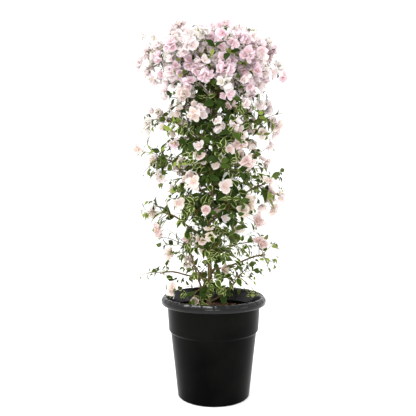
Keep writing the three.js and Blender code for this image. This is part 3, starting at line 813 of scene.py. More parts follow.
def set_bunch(mass, place, heading, count, size, deal, tint=None):
    """Sets a bunch where no other is near, and says how many of its blossoms had room."""
    tint = tint or bunch_tint(place, deal)
    axis = unit(0.6 * heading + 0.9 * outward(place) + np.array([0, 0, deal(-0.4, 0.5)]))
    first_turn = deal(0, 360)
    middle = place + BUNCH_STALK * axis
    if room_from_bunches(middle) < BUNCH_ROOM:
        return 0
    done = 0
    for n in range(count):
        lean = deal(0, SINGLE_LEAN) if count == 1 else BUNCH_LEAN + deal(-LEAN_SPREAD, LEAN_SPREAD)
        own = tilted(axis, lean, first_turn + 360 * n / count)
        length = habit("bract_length", place[2]) * size * deal(*BLOSSOM_SIZES)
        root = place + BUNCH_STALK * own
        if not is_free(mass, np.array([root, root + 0.8 * length * own]), BLOSSOM_ROOM):
            continue
        kinds = ("star", "bell", "lantern") if place[2] > YOUNG_FROM else ("bell", "star", "star")
        set_blossom(root, own, length, kinds[min(int(deal(0, 4)), 2)], tint, deal)
        stalk = np.array([place, place + 0.5 * BUNCH_STALK * own, root + own])
        add_twig("green", stalk, STALK_RADIUS, STALK_RADIUS)
        done += 1
    if done:
        bunch_middles.append(middle)
    return done


print("pieces of blossoms:", *TINTS)

# %% [markdown]
# ## Growing the shoots
# A mass first grows the same shoots as its solid: they head evenly all round, by turning 137.5 degrees from
# one to the next, and each is drawn in until it has room. Finer ones then fill the spaces between them. Every
# shoot has a node each 18 mm or so. A node carries a leaf, and often a spur: a short side twig with a few
# small leaves or a bunch.

# %% Lines of shoots and spurs
GOLDEN_TURN = 137.5
SHOOT_STEPS = 6
SHOOT_RADIUS = 1.4
SHOOT_TIP_RADIUS = 0.65
SHOOT_SIDES = 5
SHOOT_MOST_SHARE = 0.86
SHOOT_LEAST_SHARE = 0.3
SHOOT_SHARE_STEP = 0.07
SHOOT_BOW = 0.12
SHOOT_WAVE = 1.8
SPUR_STEPS = 3
SPUR_LEAN = (45, 80)
SPUR_BOW = 0.15


def even_direction(number, count, first_turn):
    up = 1 - (2 * number + 1) / count
    return around(GOLDEN_TURN * number + first_turn, math.sqrt(1 - up * up), up * MASS_SQUASH)


def shoot_line(start, end):
    """A shoot bows upwards on its way."""
    towards = (start + end) / 2 + SHOOT_BOW * np.linalg.norm(end - start) * UP
    return bow(start, towards, end, SHOOT_STEPS)


def grow_shoot(mass, direction, root_share, deal):
    """The points of a shoot that leaves the mass's stem and is drawn in until it is free, or None."""
    start, _ = along_path(mass["stem"]["points"], root_share)
    share = SHOOT_MOST_SHARE
    while share > SHOOT_LEAST_SHARE:
        points = shoot_line(start, mass["centre"] + direction * mass["reach"] * share)
        if is_free(mass, points[2:], SHOOT_RADIUS):
            points[1:-1] += [scatter(SHOOT_WAVE, deal) for _ in points[1:-1]]
            return points
        share -= SHOOT_SHARE_STEP
    return None


def grow_spur(mass, place, heading, length, deal):
    """The points of a short side twig, or None where it has no room."""
    side = tilted(heading, deal(*SPUR_LEAN), deal(0, 360))
    end = place + length * unit(side + 0.5 * outward(place) + deal(-0.2, 0.4) * UP)
    points = bow(place, (place + end) / 2 + SPUR_BOW * length * UP, end, SPUR_STEPS)
    return points if is_free(mass, points[1:], 1) else None


print("the first of 5 directions:", even_direction(0, 5, 0).round(2))

# %% Dress the shoots
NODE_SPACING = 18
FIRST_NODE = 0.2
LEAF_SIZES = (0.8, 1.3)
FIRST_LEAF_SIZE = 1.2
LEAF_TAPER = 0.45
TIP_LEAF_SIZES = (0.45, 0.75)
SIDE_BLOOM_FROM = 0.35
SHOOT_BUNCH_SIZES = (0.9, 1.14)
HEAD_BUNCH = (3, 5.9)
COLUMN_BUNCH = (1.8, 4.4)
SPUR_CHANCE = 0.5
SPUR_LENGTHS = (14, 30)
SPUR_RADIUS = 0.6
SPUR_TIP_RADIUS = 0.4
SPUR_BUNCH_SIZES = (0.85, 1.1)
HEAD_SPUR_BUNCH = 5.2
COLUMN_SPUR_BUNCH = 3.4
SPUR_LEAF_SHARES = (0.45, 0.75, 1)
SPUR_LEAF_SIZES = (0.45, 0.8)
SPUR_LEAFY = 0.25


def dress_spur(mass, points, cream, blooms, deal):
    """A bunch, or a few small leaves, on a short side twig."""
    tip, heading = along_path(points, 1)
    add_twig("green", points, SPUR_RADIUS, SPUR_TIP_RADIUS)
    most = HEAD_SPUR_BUNCH if tip[2] > HEAD_FOOT else COLUMN_SPUR_BUNCH
    if blooms and set_bunch(mass, tip, heading, int(deal(most / 2, most)), deal(*SPUR_BUNCH_SIZES), deal):
        return
    for n, share in enumerate(SPUR_LEAF_SHARES):
        if deal() < SPUR_LEAFY + habit("leafy", tip[2]):
            place, heading = along_path(points, share)
            length = habit("leaf_length", place[2]) * deal(*SPUR_LEAF_SIZES)
            set_leaf(mass, place, heading, share, n, length, cream, deal)


def add_shoot(mass, points, size, blooms, deal, count=None, tint=None):
    """A shoot with leaves and spurs at its nodes, and a bunch or a few young leaves at its tip."""
    add_twig("brown" if size == 1 else "green", points, SHOOT_RADIUS, SHOOT_TIP_RADIUS, size, SHOOT_SIDES)
    cream = deal() < habit("cream", points[-1][2])
    nodes = max(2, round(path_length(points) * (1 - FIRST_NODE) / NODE_SPACING))
    for n in range(nodes):
        share = FIRST_NODE + (1 - FIRST_NODE) * (n + 0.5) / nodes
        place, heading = along_path(points, share)
        if deal() < habit("leafy", place[2]):
            tapered = FIRST_LEAF_SIZE - LEAF_TAPER * share
            length = habit("leaf_length", place[2]) * deal(*LEAF_SIZES) * tapered
            set_leaf(mass, place, heading, share, n, length, cream, deal)
        side_blooms = blooms and share > SIDE_BLOOM_FROM and deal() < habit("side_bloom", place[2])
        if side_blooms or deal() < SPUR_CHANCE * habit("leafy", place[2]):
            spur = grow_spur(mass, place, heading, deal(*SPUR_LENGTHS), deal)
            if spur is not None:
                dress_spur(mass, spur, cream, side_blooms, deal)
    tip, heading = along_path(points, 1)
    count = count or int(deal(*(HEAD_BUNCH if tip[2] > HEAD_FOOT else COLUMN_BUNCH)))
    if blooms and set_bunch(mass, tip, heading, count, deal(*SHOOT_BUNCH_SIZES), deal, tint):
        return
    for n in range(0 if tip[2] > HEAD_FOOT else 2):
        length = habit("leaf_length", tip[2]) * deal(*TIP_LEAF_SIZES)
        set_leaf(mass, tip, heading, 1, n, length, cream, deal)


print("shortest and longest spur in mm:", SPUR_LENGTHS)

# %% [markdown]
# ## Accents
# Some bunches give this plant its face: the pale spire at the upper left, the big pink bunches at the front
# of the head, the bunches that hang out of the column on both sides, and the blossoms that droop over the
# pot's lip. They are listed one by one and grown before everything else, and the rest keeps away from them.

# %% Grow the accents
ACCENT_ROOT = 0.6
ACCENT_DRAW_IN = 0.04
ACCENT_OVERHANG = 36
ACCENT_CLEARANCE = 7
ACCENT_SEEDS = 20000

# turn, reach and height of each bunch, how many blossoms it has, and its tint
ACCENTS = [
    (172, 98, 1072, 4, "blush"), (174, 104, 1045, 3, "blush"), (180, 190, 1018, 5, "shell"),
    (178, 164, 1022, 3, "pink"), (186, 180, 976, 5, "pink"), (184, 196, 938, 5, "pink"),
    (180, 182, 955, 4, "blush"), (190, 160, 912, 4, "blush"), (236, 140, 850, 5, "shell"),
    (2, 172, 990, 4, "blush"), (356, 190, 925, 4, "pink"), (350, 143, 925, 5, "pink"),
    (227, 150, 925, 4, "pink"), (236, 152, 902, 5, "pink"), (251, 152, 912, 4, "pink"),
    (261, 150, 892, 5, "pink"), (260, 152, 937, 4, "blush"), (277, 152, 937, 4, "pink"),
    (281, 152, 909, 5, "pink"), (294, 152, 884, 5, "pink"), (296, 148, 950, 4, "blush"),
    (313, 148, 952, 5, "pink"), (309, 152, 909, 4, "blush"), (309, 146, 872, 4, "pink"),
    (251, 140, 977, 4, "pink"), (264, 121, 1003, 5, "pink"), (238, 146, 958, 4, "blush"),
    (228, 140, 1000, 4, "white"), (184, 184, 775, 4, "white"), (176, 155, 822, 4, "blush"),
    (5, 155, 832, 5, "blush"), (0, 165, 786, 4, "blush"), (358, 155, 750, 4, "shell"),
    (354, 158, 714, 4, "shell"), (181, 205, 702, 3, "blush"), (188, 170, 673, 4, "shell"),
    (196, 155, 630, 3, "blush"), (350, 146, 655, 4, "dusky"), (352, 156, 580, 5, "dusky"),
    (357, 167, 539, 4, "shell"), (186, 170, 527, 3, "shell"), (190, 155, 478, 3, "dusky"),
    (345, 124, 498, 3, "dusky"), (350, 132, 437, 4, "dusky"), (264, 110, 477, 2, "peach"),
    (247, 92, 452, 2, "peach"), (258, 105, 537, 1, "dusky"), (285, 110, 600, 1, "shell"),
    (259, 140, 703, 5, "blush"), (247, 150, 803, 5, "blush"), (283, 140, 776, 4, "blush"),
    (317, 132, 558, 3, "peach"), (308, 127, 534, 3, "peach"), (227, 136, 553, 2, "shell"),
    (229, 147, 667, 4, "shell"), (244, 144, 626, 3, "shell"), (305, 146, 664, 4, "dusky"),
    (279, 146, 702, 4, "blush"), (286, 136, 810, 4, "dusky"), (297, 146, 814, 3, "blush"),
    (297, 146, 715, 4, "dusky"), (249, 148, 674, 4, "blush"), (220, 143, 318, 2, "shell"),
    (242, 92, 290, 1, "dusky"),
]


def home_of(place):
    """The mass whose space a place lies deepest in, with more reach for what juts out of it."""
    home = min(masses, key=lambda mass: ((place - mass["centre"]) ** 2).sum() - mass["reach"] ** 2)
    return {**home, "reach": home["reach"] + ACCENT_OVERHANG, "dome": ACCENT_DOME}


def line_from_stem(mass, place):
    return shoot_line(along_path(mass["stem"]["points"], ACCENT_ROOT)[0], place)


for number, (turn, reach, height, count, tint) in enumerate(ACCENTS):
    place = around(turn, reach, height)
    mass = home_of(place)
    while not is_free(mass, place[None, :], ACCENT_CLEARANCE):
        place = place + ACCENT_DRAW_IN * (mass["centre"] - place)
    add_shoot(mass, line_from_stem(mass, place), 1, True, dealer(ACCENT_SEEDS + number), count, tint)
print("accents:", len(ACCENTS), "bunches on them:", len(bunch_middles) - 1)

# %% [markdown]
# ## Tufts of leaves
# Here and there leaves come through the bracts of the head, hang over the middle of the column, and stand on
# the low bough and in the pot's mouth. They are placed like the accents. A bunch of bracts then keeps away
# from them, so that they aren't buried.

# %% Grow the tufts
TUFT_SEEDS = 30000
TUFT_STEP = 0.12
TUFT_SIZES = (0.85, 1.15)

# turn, reach and height of each tuft, how many leaves it has, and how long they are
TUFTS = [
    (283, 170, 950, 6, 31), (270, 166, 962, 5, 28), (233, 148, 938, 6, 16), (180, 146, 974, 3, 30),
    (304, 145, 932, 5, 18), (340, 148, 955, 4, 20), (288, 120, 1020, 4, 18), (250, 120, 1012, 3, 16),
    (257, 152, 762, 2, 38), (287, 152, 745, 2, 38), (273, 150, 682, 2, 36), (184, 118, 868, 2, 34),
    (242, 150, 715, 3, 32), (300, 150, 640, 3, 32), (180, 163, 360, 5, 25), (186, 138, 372, 3, 24),
    (271, 142, 826, 3, 34), (269, 138, 786, 4, 30), (267, 138, 724, 4, 30), (290, 72, 306, 2, 36),
]

for number, (turn, reach, height, count, length) in enumerate(TUFTS):
    deal = dealer(TUFT_SEEDS + number)
    place = around(turn, reach, height)
    mass = home_of(place)
    points = line_from_stem(mass, place)
    add_twig("green", points, SHOOT_RADIUS, SHOOT_TIP_RADIUS, sides=SHOOT_SIDES)
    for n in range(count):
        root, heading = along_path(points, 1 - TUFT_STEP * (n // 2))
        set_leaf(mass, root, heading, 0, n, length * deal(*TUFT_SIZES), False, deal)
    bunch_middles.append(place)
print("tufts:", len(TUFTS))

# %% [markdown]
# ## The rule at work
# Every mass now grows its shoots. The head gets many fine ones, but only where no bunch is near, and ever
# fewer towards its rim, so that the sky shows between the outermost blossoms. The masses that jut out of the
# column stay airy.

# %% Grow the other shoots
REACH_PER_SHOOT = 19
FINE_SIZE = 0.75
FINE_PER_MAIN = 2
FLANK_FINE_PER_MAIN = 1
HEAD_FINE_PER_MAIN = 7
HEAD_TIP_ROOM = 17
HEAD_FULL_REACH = 140
HEAD_THIN_REACH = 200
HEAD_THIN_KEEP = 0.2
FLANK_FROM = 120
FRONT_TOP = 740
FRONT_BLOOM = 0.65
MAIN_ROOTS = (0.55, 0.43)
FINE_ROOTS = (0.2, 0.98)
# which draws of a mass's own seed say how its first shoot turns, where each leaves the stem, and if it blooms
DRAW_TURN = 1
DRAW_ROOT = 10
DRAW_BLOOM = 100
FINE_SEEDS = 1000


def has_place(tip, deal):
    """Whether the head has a place for one more tip: away from the bunches, and rarer towards the rim."""
    if room_from_bunches(tip) < HEAD_TIP_ROOM:
        return False
    reach = math.hypot(tip[0], tip[1])
    return deal() < np.interp(reach, (HEAD_FULL_REACH, HEAD_THIN_REACH), (1, HEAD_THIN_KEEP))


def shoot_rows(mass, main, fine):
    """The direction, the place on the stem and the chance to bloom of each main and each fine shoot."""
    seed = mass["seed"]
    first_turn = 360 * draw(seed, DRAW_TURN)
    for n in range(main):
        root_share = MAIN_ROOTS[0] + MAIN_ROOTS[1] * draw(seed, DRAW_ROOT + n)
        yield even_direction(n, main, first_turn), root_share, draw(seed, DRAW_BLOOM + n)
    deal = dealer(FINE_SEEDS + seed)
    for n in range(fine):
        yield even_direction(n, fine, deal(0, 90)), deal(*FINE_ROOTS), deal()


for mass in masses:
    in_head = mass["centre"][2] > HEAD_FOOT
    in_flank = not in_head and math.hypot(*mass["centre"][:2]) > FLANK_FROM
    main = round(mass["reach"] / REACH_PER_SHOOT)
    fine = main * (HEAD_FINE_PER_MAIN if in_head else FLANK_FINE_PER_MAIN if in_flank else FINE_PER_MAIN)
    for number, (direction, root_share, chance) in enumerate(shoot_rows(mass, main, fine)):
        deal = dealer(100 * mass["seed"] + number)
        points = grow_shoot(mass, direction, root_share, deal)
        if points is None or in_head and not has_place(points[-1], deal):
            continue
        blooming = mass["bloom"] * habit("bloom", points[-1][2])
        if points[-1][1] < 0 and points[-1][2] < FRONT_TOP:
            blooming *= FRONT_BLOOM
        add_shoot(mass, points, 1 if number < main else FINE_SIZE, chance < blooming, deal)
print({name: len(shapes) for name, shapes in grown.items()}, "bunches:", len(bunch_middles) - 1)

# %% [markdown]
# ## Stems
# Each mass hangs on one stem. It is dressed with the oldest leaves, which fill the middle of the bush.

# %% Grow the stems
STEM_SEEDS = 5000
STEM_SIDES = 8
STEM_LEAF_SPACING = 20
STEM_LEAF_FROM = 0.25
STEM_LEAF_SIZES = (1.1, 1.6)
OLD_LEAF_LOWEST = 420

for mass in masses:
    deal = dealer(STEM_SEEDS + mass["seed"])
    points = mass["stem"]["points"]
    fine_shares = np.linspace(0, 1, 3 * STEM_STEPS + 1)
    fine_points = np.array([along_path(points, share)[0] for share in fine_shares])
    add_twig("brown", fine_points, STEM_RADIUS, STEM_TIP_RADIUS, sides=STEM_SIDES)
    if not OLD_LEAF_LOWEST < points[-1][2] < HEAD_FOOT:
        continue
    count = round(path_length(points) / STEM_LEAF_SPACING)
    for n in range(count):
        place, heading = along_path(points, STEM_LEAF_FROM + (1 - STEM_LEAF_FROM) * n / count)
        length = habit("leaf_length", place[2]) * deal(*STEM_LEAF_SIZES)
        set_leaf(mass, place, heading, 0, n, length, False, deal)
print("twigs and stems:", len(grown["twigs_green"]) + len(grown["twigs_brown"]))

# %% [markdown]
# ## Foliage and bract finishes
# Leaves are satin, with a paler back. Bracts are papery: light goes some way into them, which makes them
# glow, so they get some subsurface scattering. The colours are plain, and fine noise crinkles the surface.


# %% Foliage materials
def to_linear(red, green, blue):
    """A colour as a screen shows it, turned into the numbers that a shader wants."""
    return tuple(((c + 0.055) / 1.055) ** 2.4 if c > 0.04 else c / 12.92 for c in (red, green, blue)) + (1,)


def set_inputs(tree, node, inputs):
    """Links each of these inputs to a socket, or gives it a plain value."""
    for name, value in inputs.items():
        if isinstance(value, bpy.types.NodeSocket):
            tree.links.new(value, node.inputs[name])
        else:
            node.inputs[name].default_value = value


def add_node(tree, kind, inputs, **settings):
    node = tree.nodes.new(f"ShaderNode{kind}")
    for name, value in settings.items():
        setattr(node, name, value)
    set_inputs(tree, node, inputs)
    return node


def new_material(name, roughness, specular):
    material = bpy.data.materials.new(name)
    material.use_nodes = True
    tree = material.node_tree
    shader = tree.nodes["Principled BSDF"]
    set_inputs(tree, shader, {"Roughness": roughness, "Specular IOR Level": specular})
    return material, tree, shader


def object_place(tree):
    return add_node(tree, "TexCoord", {}).outputs["Object"]


def add_noise(tree, scale, detail=3, stretch=(1, 1, 1)):
    """Noise on the object's own coordinates, drawn out along an axis whose stretch is below 1."""
    mapping = add_node(tree, "Mapping", {"Vector": object_place(tree), "Scale": stretch})
    inputs = {"Vector": mapping.outputs["Vector"], "Scale": scale, "Detail": detail}
    return add_node(tree, "TexNoise", inputs).outputs["Fac"]


def add_bump(tree, height, distance):
    """Relief of a real height in metres."""
    return add_node(tree, "Bump", {"Distance": distance, "Height": height}).outputs["Normal"]


def leaf_material(name, colour, roughness=0.42):
    material, tree, shader = new_material(name, roughness, specular=0.07)
    set_inputs(tree, shader, {
        "Base Color": to_linear(*colour),
        "Normal": add_bump(tree, add_noise(tree, scale=420), distance=0.0006),
    })
    return material


def bract_material(name, colour):
    material, tree, shader = new_material(name, roughness=0.7, specular=0.15)
    set_inputs(tree, shader, {
        "Base Color": to_linear(*colour),
        "Subsurface Weight": 0.5,
        "Subsurface Radius": (1.0, 0.8, 0.8),
        "Subsurface Scale": 0.007,
        "Normal": add_bump(tree, add_noise(tree, scale=240), distance=0.0016),
    })
    return material


# face, back and margin of the leaves
LEAF_PAINTS = {
    "leaves_deep": [(0.125, 0.19, 0.035), (0.36, 0.42, 0.22), (0.15, 0.22, 0.04)],
    "leaves_fresh": [(0.2, 0.265, 0.075), (0.36, 0.42, 0.22), (0.25, 0.32, 0.1)],
    "leaves_lime": [(0.44, 0.5, 0.2), (0.53, 0.57, 0.33), (0.56, 0.6, 0.32)],
    "leaves_cream_edged": [(0.17, 0.24, 0.05), (0.34, 0.41, 0.18), (0.7, 0.73, 0.48)],
}
# rim, middle and heart of the bracts, and the flowers
BRACT_PAINTS = {
    "blossoms_white": [(0.86, 0.84, 0.815), (0.855, 0.825, 0.8), (0.84, 0.785, 0.76), (0.78, 0.78, 0.58)],
    "blossoms_blush": [(0.875, 0.825, 0.815), (0.87, 0.795, 0.8), (0.86, 0.735, 0.76), (0.8, 0.78, 0.6)],
    "blossoms_pink": [(0.88, 0.79, 0.82), (0.875, 0.735, 0.78), (0.865, 0.66, 0.725), (0.82, 0.76, 0.62)],
    "blossoms_shell": [(0.85, 0.785, 0.75), (0.835, 0.745, 0.715), (0.82, 0.68, 0.67), (0.81, 0.76, 0.58)],
    "blossoms_dusky": [(0.84, 0.75, 0.725), (0.825, 0.695, 0.685), (0.8, 0.61, 0.635), (0.81, 0.75, 0.58)],
    "blossoms_peach": [(0.86, 0.79, 0.73), (0.845, 0.75, 0.69), (0.82, 0.67, 0.64), (0.82, 0.76, 0.56)],
}
TWIG_PAINTS = {"twigs_green": (0.4, 0.44, 0.2), "twigs_brown": (0.34, 0.28, 0.16)}
print("a mid grey as a shader wants it:", [round(value, 2) for value in to_linear(0.5, 0.5, 0.5)[:3]])

# %% Write the foliage and blossom pieces
mass_nodes = [mass["name"] for mass in masses]


def write_growth(name, finishes):
    piece = join_piece(name, grown[name], finishes, sharp_from=60)
    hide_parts(*mass_nodes)


for name, paints in LEAF_PAINTS.items():
    parts = zip(("face", "back", "margin"), paints)
    write_growth(name, [leaf_material(f"{name}_{part}", paint) for part, paint in parts])
for name, paints in BRACT_PAINTS.items():
    parts = zip(("rim", "bract", "heart", "flower"), paints)
    write_growth(name, [bract_material(f"{name}_{part}", paint) for part, paint in parts])
for name, paint in TWIG_PAINTS.items():
    write_growth(name, [leaf_material(name, paint, roughness=0.6)])

# %% [markdown]
# ## Bark
# The trunk and boughs are the same lines as the solids', in many more rings. Bougainvillea bark has fine
# lengthwise ridges and a knuckle wherever a shoot once grew. Both are worked into the radius, so the relief
# is in the mesh and not only in the shading.

# %% Wrap the bark
TRUNK_SIDES = 20
BOUGH_SIDES = 12
RING_SPACING = 3.5
RING_SMOOTHING = 6
FURROW_DEPTHS = (0.05, 0.035)
KNUCKLE_SPACING = 31
KNUCKLE_LENGTH = 3.5
KNUCKLE_SWELLING = 0.12
KNUCKLE_TURN = 2.4


def bark_relief(points, seed):
    """How the radius of a limb swells at knuckles and is furrowed lengthwise, as a rule for its corners."""
    ring_places = np.concatenate([[0], np.cumsum(np.linalg.norm(np.diff(points, axis=0), axis=1))])

    def relief(ring, angle):
        travelled = ring_places[ring]
        broad = FURROW_DEPTHS[0] * np.sin(5 * angle + 0.02 * travelled + seed)
        fine = FURROW_DEPTHS[1] * np.sin(9 * angle - 0.05 * travelled)
        nearness = (travelled % KNUCKLE_SPACING - KNUCKLE_SPACING / 2) / KNUCKLE_LENGTH
        side = 1 + np.sin(angle + KNUCKLE_TURN * (travelled // KNUCKLE_SPACING))
        return 1 + (broad + fine) + KNUCKLE_SWELLING * np.exp(-nearness**2) * side

    return relief


def finer(limb):
    """The same limb with rings every few millimetres, smoothly bent through its points."""
    count = round(path_length(limb["points"]) / RING_SPACING)
    shares = np.linspace(0, 1, count + 1)
    knots = np.linspace(0, 1, len(limb["points"]))
    points = np.stack([np.interp(shares, knots, limb["points"][:, axis]) for axis in range(3)], axis=1)
    for _ in range(RING_SMOOTHING):
        points[1:-1] = (points[:-2] + 2 * points[1:-1] + points[2:]) / 4
    return points, np.interp(shares, knots, limb["radii"])


def mottled_material(name, dark, light, scale, relief, roughness, specular, stretch=(1, 1, 1), painted_shade_up=0):
    """A finish whose colour wanders between two tones with the same noise that raises its surface.

    Painted shade may also make it paler upwards, by so much of the way between the tones for each metre.
    """
    material, tree, shader = new_material(name, roughness, specular)
    wander = add_noise(tree, scale, detail=7, stretch=stretch)
    height = add_node(tree, "SeparateXYZ", {"Vector": object_place(tree)}).outputs["Z"]
    # painted shade: the tone rises with the height, so the colour gets paler upwards
    tone = add_node(tree, "Math", {0: height, 1: painted_shade_up, 2: wander}, operation="MULTIPLY_ADD")
    ramp = add_node(tree, "ValToRGB", {"Fac": tone.outputs["Value"]})
    for stop, position, colour in zip(ramp.color_ramp.elements, (0.33, 0.68), (dark, light)):
        stop.position = position + 0.15 * painted_shade_up
        stop.color = to_linear(*colour)
    raised = add_bump(tree, wander, relief)
    set_inputs(tree, shader, {"Base Color": ramp.outputs["Color"], "Normal": raised})
    return material


bark_shapes = []
for number, (name, limb) in enumerate(limbs.items()):
    points, radii = finer(limb)
    sides = TRUNK_SIDES if name == "trunk" else BOUGH_SIDES
    bark_shapes.append(limb_shape(points, radii, sides, bark_relief(points, number)))
bark = mottled_material("bark", dark=(0.22, 0.17, 0.11), light=(0.5, 0.42, 0.3), scale=520, relief=0.0008,
                        roughness=0.85, specular=0.2, stretch=(1, 1, 0.18))
piece = join_piece("trunk_and_boughs", bark_shapes, [bark], sharp_from=60)
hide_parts(*limbs)

# %% [markdown]
# ## The pot
# A nursery pot is moulded in one piece: a wall that widens upwards, a step out to a band, and a heavy lip
# that overhangs it. It is a turned shape, so its outline is drawn once and spun. Corners of the outline are
# rounded with the same bow as the shoots. Inside, below the lip, run a few ribs, and the lip's outer edge has
# a row of small notches, which are pressed in after the spin.

# %% Turn the pot
NOTCH_COUNT = 28
STEPS_PER_NOTCH = 12
NOTCH_DEPTH = 2.6
NOTCH_LOWEST = 276
NOTCH_INNERMOST = 139.5
NOTCH_WIDTH = 0.02
RIB_COUNT = 5
RIB_TOP = 275
RIB_RADIUS = 134.5
RIB_PITCH = 6
RIB_DEPTH = 1.1
WALL_SLOPE = 0.33

# radius, height and rounding of each corner of the wall, from the middle of the foot up and over the lip
pot_corners = [
    (0, 0, 0), (103, 0, 4), (124, 184, 2), (129.5, 189, 2), (134.5, 264, 1.5), (150, 264, 2),
    (152, 268, 2), (151.5, 276.2, 2.2), (144.4, 285, 1.5), (139.5, 284.5, 2), (136, 279, 2),
]
for rib in range(RIB_COUNT):
    height = RIB_TOP - rib * RIB_PITCH
    radius = RIB_RADIUS - rib * RIB_PITCH * WALL_SLOPE
    pot_corners += [(radius, height, 0.6), (radius - RIB_DEPTH, height - RIB_PITCH / 2, 0.6)]
pot_corners += [(127, 244, 1), (119, 184, 2), (98, 5, 3), (0, 5, 0)]


def rounded_outline(corners):
    """Points along an outline, with a bow of four steps in place of each rounded corner."""
    places = [np.array(corner[:2], float) for corner in corners]
    outline = [places[0]]
    for before, corner, after, (_, _, rounding) in zip(places, places[1:], places[2:], corners[1:]):
        start = corner + unit(before - corner) * rounding
        end = corner + unit(after - corner) * rounding
        outline += list(bow(start, corner, end, 4))
    return outline + [places[-1]]


def turned_mesh(name, outline, steps):
    """Spins an outline that starts and ends on the upright axis into a closed mesh."""
    bm = bmesh.new()
    verts = [bm.verts.new((radius * MM, 0, height * MM)) for radius, height in outline]
    edges = [bm.edges.new(pair) for pair in zip(verts, verts[1:])]
    bmesh.ops.spin(bm, geom=verts + edges, cent=(0, 0, 0), axis=(0, 0, 1), angle=2 * math.pi, steps=steps,
                   use_merge=True)
    bmesh.ops.remove_doubles(bm, verts=bm.verts[:], dist=1e-6)
    bmesh.ops.recalc_face_normals(bm, faces=bm.faces[:])
    mesh = bpy.data.meshes.new(name)
    bm.to_mesh(mesh)
    bm.free()
    return mesh


pot_mesh = turned_mesh("pot_shell", rounded_outline(pot_corners), NOTCH_COUNT * STEPS_PER_NOTCH)
pressed = 0
for vertex in pot_mesh.vertices:
    radius = math.hypot(vertex.co.x, vertex.co.y) / MM
    turn = (math.atan2(vertex.co.y, vertex.co.x) + NOTCH_WIDTH / 2) % (2 * math.pi / NOTCH_COUNT)
    if vertex.co.z / MM > NOTCH_LOWEST and radius > NOTCH_INNERMOST and turn < NOTCH_WIDTH:
        vertex.co.z -= NOTCH_DEPTH * MM
        pressed += 1
print("corners pressed in for notches:", pressed)

# %% [markdown]
# ## Black plastic
# The wall is nearly black and hardly shines face on. Its colour is painted a little paler upwards, painted
# shade that leaves it darkest at the foot. The lip has a dark grey finish of its own, glossier than the
# wall's, so bright light breaks along its top edge. So wall and lip get two finishes. The inside of the pot
# gets the lip's finish.

# %% Finish the pot
LIP_FOOT = 263
LIP_INNERMOST = 136

# painted shade: the wall is painted paler upwards and is darkest at the foot
wall_plastic = mottled_material("black_plastic", dark=(0.003, 0.004, 0.003), light=(0.04, 0.045, 0.034),
                                scale=9, relief=0.0004, roughness=0.3, specular=0.03, painted_shade_up=1.2)
# the lip and the inside of the pot: a dark grey finish, glossier than the wall's
lip_plastic = mottled_material("glossy_grey_plastic", dark=(0.013, 0.015, 0.015), light=(0.036, 0.04, 0.04),
                               scale=60, relief=0.00003, roughness=0.16, specular=0.26)
for material in (wall_plastic, lip_plastic):
    pot_mesh.materials.append(material)
for face in pot_mesh.polygons:
    from_axis = math.hypot(face.center.x, face.center.y) / MM
    on_lip = face.center.z / MM > LIP_FOOT and from_axis > LIP_INNERMOST
    inside = face.center.x * face.normal.x + face.center.y * face.normal.y < 0
    face.material_index = 1 if on_lip or inside else 0
pot = add_piece(pot_mesh, sharp_from=40)
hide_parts("pot")

# %% [markdown]
# ## Soil
# The pot is filled to 43 mm below its lip with a coarse mix. The surface is a turned shape with lumps of
# noise, and some hundreds of bark chips and crumbs lie sunk into it. They are one small ball, copied,
# stretched and turned, because a crumb is only a few pixels wide.

# %% Fill the pot
SOIL_SURFACE = 236
SOIL_REACH = 121
SOIL_EDGE = 3
# height and length of the coarse and the fine lumps, and the layer of noise that each is read from
SOIL_LUMPS = [(3.2, 22, 0), (1.6, 7, 40)]
soil_corners = [
    (0, 5.4, 0), (97.6, 5.4, 1), (118.6, 184, 1), (126, 238, 1), (88, 241, 1), (34, 242, 1), (0, 242, 0),
]


def soil_lift(x, y):
    """How far the soil rises above or sinks below its level at a place, in millimetres."""
    return sum(rise * noise.noise(Vector((x, y, layer)) / length) for rise, length, layer in SOIL_LUMPS)


bm = bmesh.new()
soil_mesh = turned_mesh("soil_bed", rounded_outline(soil_corners), 96)
bm.from_mesh(soil_mesh)
surface = [edge for edge in bm.edges if all(vertex.co.z / MM > SOIL_SURFACE for vertex in edge.verts)]
bmesh.ops.subdivide_edges(bm, edges=surface, cuts=3, use_grid_fill=True)
for vertex in bm.verts:
    x, y, z = vertex.co / MM
    if z > SOIL_SURFACE and math.hypot(x, y) < SOIL_REACH + SOIL_EDGE:
        vertex.co.z += soil_lift(x, y) * MM
bm.to_mesh(soil_mesh)
bm.free()
soil_mesh.materials.append(mottled_material("potting_mix", dark=(0.1, 0.07, 0.05), light=(0.3, 0.21, 0.15),
                                            scale=160, relief=0.003, roughness=0.95, specular=0.1))
bed = add_piece(soil_mesh, sharp_from=180)
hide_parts("soil")

# %% Scatter crumbs
CRUMB_SEED = 9000
CRUMB_COUNT = 620
CRUMB_SIZES = (1.1, 4.5)
CRUMB_STRETCH = (1, 2.2)
CRUMB_FLATNESS = (0.4, 0.9)
CRUMB_LIFT = 0.2
CRUMB_TURN = 6.3
SOIL_SAG = 3
CRUMB_PAINTS = [(0.17, 0.12, 0.09), (0.33, 0.23, 0.15), (0.55, 0.43, 0.3)]

